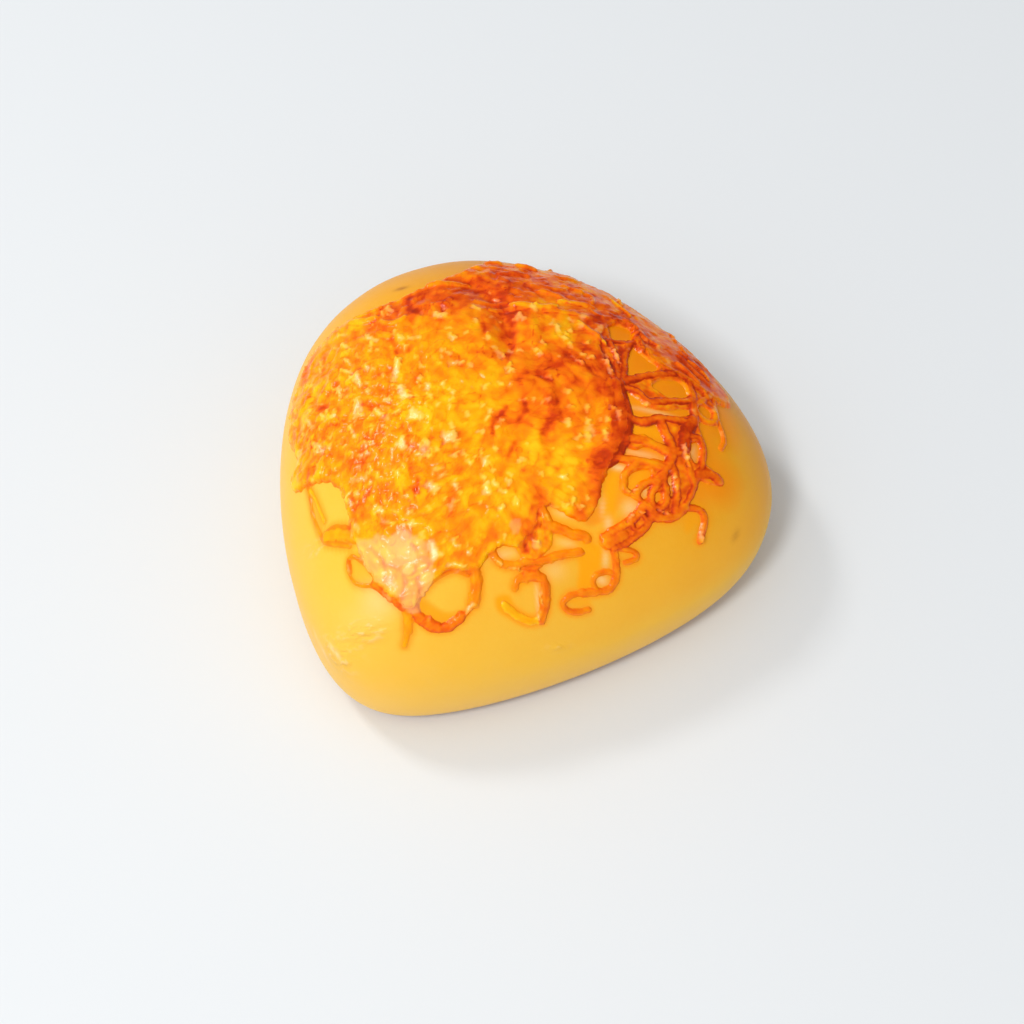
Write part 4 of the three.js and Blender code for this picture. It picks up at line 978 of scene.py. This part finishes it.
def bakedCrust():
    # Egg-washed bread crust, baked: golden and satin, browner towards the top, matt and darker underneath
    material = newMaterial("egg_washed_bread_crust")
    place = addNode(material, "ShaderNodeTexCoord"), "Object"
    bake, film, marks, stain, wrinkle, pale = (
        readAttribute(material, name) for name in ("bake", "film", "marks", "stain", "wrinkle", "pale"))
    mottle = noise(material, place, 90.0, 5.0, 0.6)        # 11 mm mottling
    pores = noise(material, place, 900.0, 3.0, 0.6)        # 1 mm skin pores
    uneven = combine(material, "MULTIPLY_ADD", mottle, 0.16, bake)
    uneven = combine(material, "MULTIPLY_ADD", pores, 0.05, uneven)
    crust = addNode(material, "ShaderNodeValToRGB", inputs={"Fac": uneven}, stops=(
        (0.10, "#f5c156"), (1.0, "#dd8606"), (0.42, "#f7bc38"), (0.72, "#f4a81c"))), "Color"
    stained = mixColour(material, stain, crust, "#ff8a00")              # orange fat
    filmed = mixColour(material, film, stained, "#ffa400")              # thin melt
    marked = mixColour(material, marks, filmed, "#9c4a06")              # scorched specks
    stretched = addNode(material, "ShaderNodeMapping", inputs={
        "Vector": place, "Rotation": (0.0, 0.0, 0.5), "Scale": (260.0, 900.0, 500.0)}), "Vector"
    folds = addNode(material, "ShaderNodeTexNoise", inputs={
        "Vector": stretched, "Scale": 1.0, "Detail": 2.0}), "Fac"
    # Painted glints: the crests of the fine wrinkles are painted cream
    glintCrest = addNode(material, "ShaderNodeMapRange", inputs={
        "Value": folds, "From Min": 0.54, "From Max": 0.68, "To Max": 0.8}), "Result"
    crestGlints = combine(material, "MULTIPLY", glintCrest, wrinkle)
    # Painted highlights: the highlight spots and the wrinkle crests are mixed to cream
    highlighted = mixColour(material, combine(material, "MAXIMUM", pale, crestGlints), marked, "#fbd08c")
    height = addNode(material, "ShaderNodeSeparateXYZ", inputs={"Vector": place}), "Z"
    under = addNode(material, "ShaderNodeMapRange", {"interpolation_type": "SMOOTHSTEP"}, {
        "Value": height, "From Min": 0.0035, "From Max": 0.0002}), "Result"
    colour = mixColour(material, under, highlighted, "#b9772a")
    gloss = addNode(material, "ShaderNodeMapRange", inputs={
        "Value": under, "To Min": 0.50, "To Max": 0.75}), "Result"
    grain = combine(material, "MULTIPLY_ADD", pores, 0.04, combine(material, "MULTIPLY", folds, wrinkle))
    bump = addNode(material, "ShaderNodeBump", inputs={
        "Height": grain, "Strength": 1.0, "Distance": 0.0014}), "Normal"
    shader = addNode(material, "ShaderNodeBsdfPrincipled", inputs={
        "Base Color": colour, "Roughness": gloss, "Normal": bump, "IOR": 1.45, "Specular IOR Level": 0.05,
        "Coat Weight": 0.26, "Coat Roughness": 0.18, "Coat Normal": bump, "Subsurface Weight": 0.10,
        "Subsurface Radius": (0.0012, 0.0009, 0.0005), "Subsurface Scale": 1.0})
    addNode(material, "ShaderNodeOutputMaterial", inputs={"Surface": (shader, "BSDF")})
    return material


def brownedCheese():
    # Melted cheddar, browned under the grill: translucent, oily and glossy, red-brown where it is dry
    material = newMaterial("melted_browned_cheddar")
    place = addNode(material, "ShaderNodeTexCoord"), "Object"
    brown, thin, pale = (readAttribute(material, name) for name in ("brown", "thin", "pale"))
    speckle = noise(material, place, 900.0, 3.0, 0.55)     # 1.1 mm speckle
    toned = combine(material, "MULTIPLY_ADD", speckle, 0.10, brown)
    toned = combine(material, "SUBTRACT", toned, 0.05)
    melted = addNode(material, "ShaderNodeValToRGB", inputs={"Fac": toned}, stops=(
        (0.0, "#ffc010"), (1.0, "#aa2a00"), (0.18, "#feaa00"), (0.38, "#fc8900"), (0.58, "#f06400"),
        (0.78, "#d23e00"))), "Color"
    colour = mixColour(material, thin, melted, "#ff9410")
    # Painted highlights: pale lays cream over the melt, partly pale cheese and partly painted glints
    creamedAndGlinting = mixColour(material, pale, colour, "#fcd294")
    bump = addNode(material, "ShaderNodeBump", inputs={
        "Height": speckle, "Strength": 0.4, "Distance": 0.00014}), "Normal"
    shader = addNode(material, "ShaderNodeBsdfPrincipled", inputs={
        "Base Color": creamedAndGlinting, "Roughness": 0.17, "Normal": bump, "IOR": 1.46, "Specular IOR Level": 0.17,
        "Subsurface Weight": 0.25, "Subsurface Radius": (0.0006, 0.0004, 0.0001), "Subsurface Scale": 1.0})
    addNode(material, "ShaderNodeOutputMaterial", inputs={"Surface": (shader, "BSDF")})
    return material


crustMaterial = bakedCrust()
cheeseMaterial = brownedCheese()
print("materials made")

# Cheese: one field on two grids, so that the sheet and the lace meet without a seam
scattered = scatterPieces()
field = meltedCheese(np.arange(-60, 60.5, cheese["sheetCell"]), np.arange(-50, 53.5, cheese["sheetCell"]))
print("cheese sheet worked out")
keep = (cornerMax(field["lift"]) > cheese["lowestKept"]) & (cornerMax(field["edge"]) > -0.6)
sheet = makePiece("cheese_sheet", **closedRelief(field, keep), material=cheeseMaterial,
                  nodeName="cheese_topping")

lace = meltedCheese(np.arange(-52, 57, cheese["laceCell"]), np.arange(-63, 31, cheese["laceCell"]))
print("cheese lace worked out")
outer = (cornerMax(lace["lift"]) > cheese["lowestKept"]) & (cornerMax(-lace["edge"]) > -0.6)
outer &= (cornerMax(-lace["reach"]) > -1) | (cornerMax(lace["web"]) > -0.5)
width, looseCurl = cheese["looseShred"]
looseCurl = smoothPath(looseCurl, cheese["pathStep"])
loose = pathDistance(lace["u"], lace["v"], looseCurl)[0][:-1, :-1] < width
web = makePiece("cheese_lace", **closedRelief(lace, outer & ~loose), material=cheeseMaterial,
                nodeName="cheese_topping")
curl = makePiece("cheese_curl", **closedRelief(lace, outer & loose), material=cheeseMaterial, nodeName="bun")


def soaked(u, v, patches, amounts):
    # Largest of the given amounts and of the outlined patches, whose edges are soft
    for amount, outline in patches:
        amounts = np.maximum(amounts, amount * crossing(areaDistance(u, v, outline), bread["patchFade"]))
    return amounts


# Bread, with fat and thin melt beside the shreds, and fat under the web
arc = np.linspace(0, arcs[-1], bread["rings"] + 2)[1:-1]
angle = np.linspace(0, 2 * np.pi, bread["around"], endpoint=False)
arcGrid, angleGrid = np.meshgrid(arc, angle, indexing="ij")
u = np.concatenate([[0.0], (arcGrid * np.cos(angleGrid)).ravel(), [arcs[-1]]])
v = np.concatenate([[0.0], (arcGrid * np.sin(angleGrid)).ravel(), [0.0]])
points = breadPoint(u, v)
x, y, z = points.T
bare = sampleGrid(np.minimum(lace["reach"], -lace["web"]), lace["axes"], u, v, 9)
tintShare = 0.85 * np.clip(1 + areaDistance(u, v, cheese["web"]) / 8, 0, 1) * np.clip((v + 30) / 12, 0, 1)
tintShare = np.maximum(tintShare, 0.65 * np.clip(1.1 - bare / 0.8, 0, 1))
bake = np.interp(z, bread["bakeLevels"], bread["bakeShades"])
bake = bake + (bread["bakeRight"] * x + bread["bakeBack"] * np.maximum(y, 0)) * np.clip(z / 22, 0, 1)
values = {
    "bake": bake,
    "film": soaked(u, v, bread["films"], 0.35 * np.clip(1 - bare / 1.8, 0, 1)),
    "stain": soaked(u, v, bread["stains"], tintShare),
    # painted highlights on the crust
    "pale": np.clip(blots(u, v, bread["paintedHighlights"]), 0, 1),
    "marks": blots(u, v, bread["marks"]),
    "wrinkle": np.clip(blots(u, v, bread["wrinkles"]), 0, 1),
}
bun = makePiece("bread_bun", points, ringFaces(bread["rings"], bread["around"]), values, crustMaterial, "bun")

# Floor, light and camera
bpy.ops.mesh.primitive_plane_add(size=3.0, location=(0, 0, -0.0002))
floor = bpy.context.object
floor.name = "floor"
floorMaterial = newMaterial("matt_white_board")
board = addNode(floorMaterial, "ShaderNodeBsdfPrincipled", inputs={
    "Base Color": toLinear("#e0e3e4"), "Roughness": 0.7})
addNode(floorMaterial, "ShaderNodeOutputMaterial", inputs={"Surface": (board, "BSDF")})
floor.data.materials.append(floorMaterial)

for name, (azimuth, elevation, distance, size, power) in lights.items():
    lamp = bpy.data.lights.new(name, "AREA")
    lamp.size, lamp.energy = size, power
    holder = bpy.data.objects.new(name, lamp)
    holder.location = distance * direction(azimuth, elevation)
    holder.rotation_euler = (math.radians(90 - elevation), 0, math.radians(180 - azimuth))
    bpy.context.scene.collection.objects.link(holder)

world = bpy.data.worlds.new("soft_room")
bpy.context.scene.world = world
world.use_nodes = True
way = addNode(world, "ShaderNodeTexCoord"), "Generated"
facing = addNode(world, "ShaderNodeVectorMath", {"operation": "DOT_PRODUCT"}, {0: way, 1: room["brightSide"]})
glow, output = combine(world, "MULTIPLY_ADD", (facing, "Value"), room["slope"], room["strength"])
background = world.node_tree.nodes["Background"]
background.inputs["Color"].default_value = toLinear(room["colour"])
world.node_tree.links.new(glow.outputs[output], background.inputs["Strength"])

lens = bpy.data.cameras.new("camera")
lens.lens, lens.sensor_width = camera["lens"], camera["sensor"]
view = bpy.data.objects.new("camera", lens)
view.location = cameraPlace
view.rotation_euler = (math.radians(90 - camera["elevation"]), 0, 0)
bpy.context.scene.collection.objects.link(view)
bpy.context.scene.camera = view
bpy.context.scene.view_settings.view_transform = "Standard"
print("floor, lamps and camera placed")
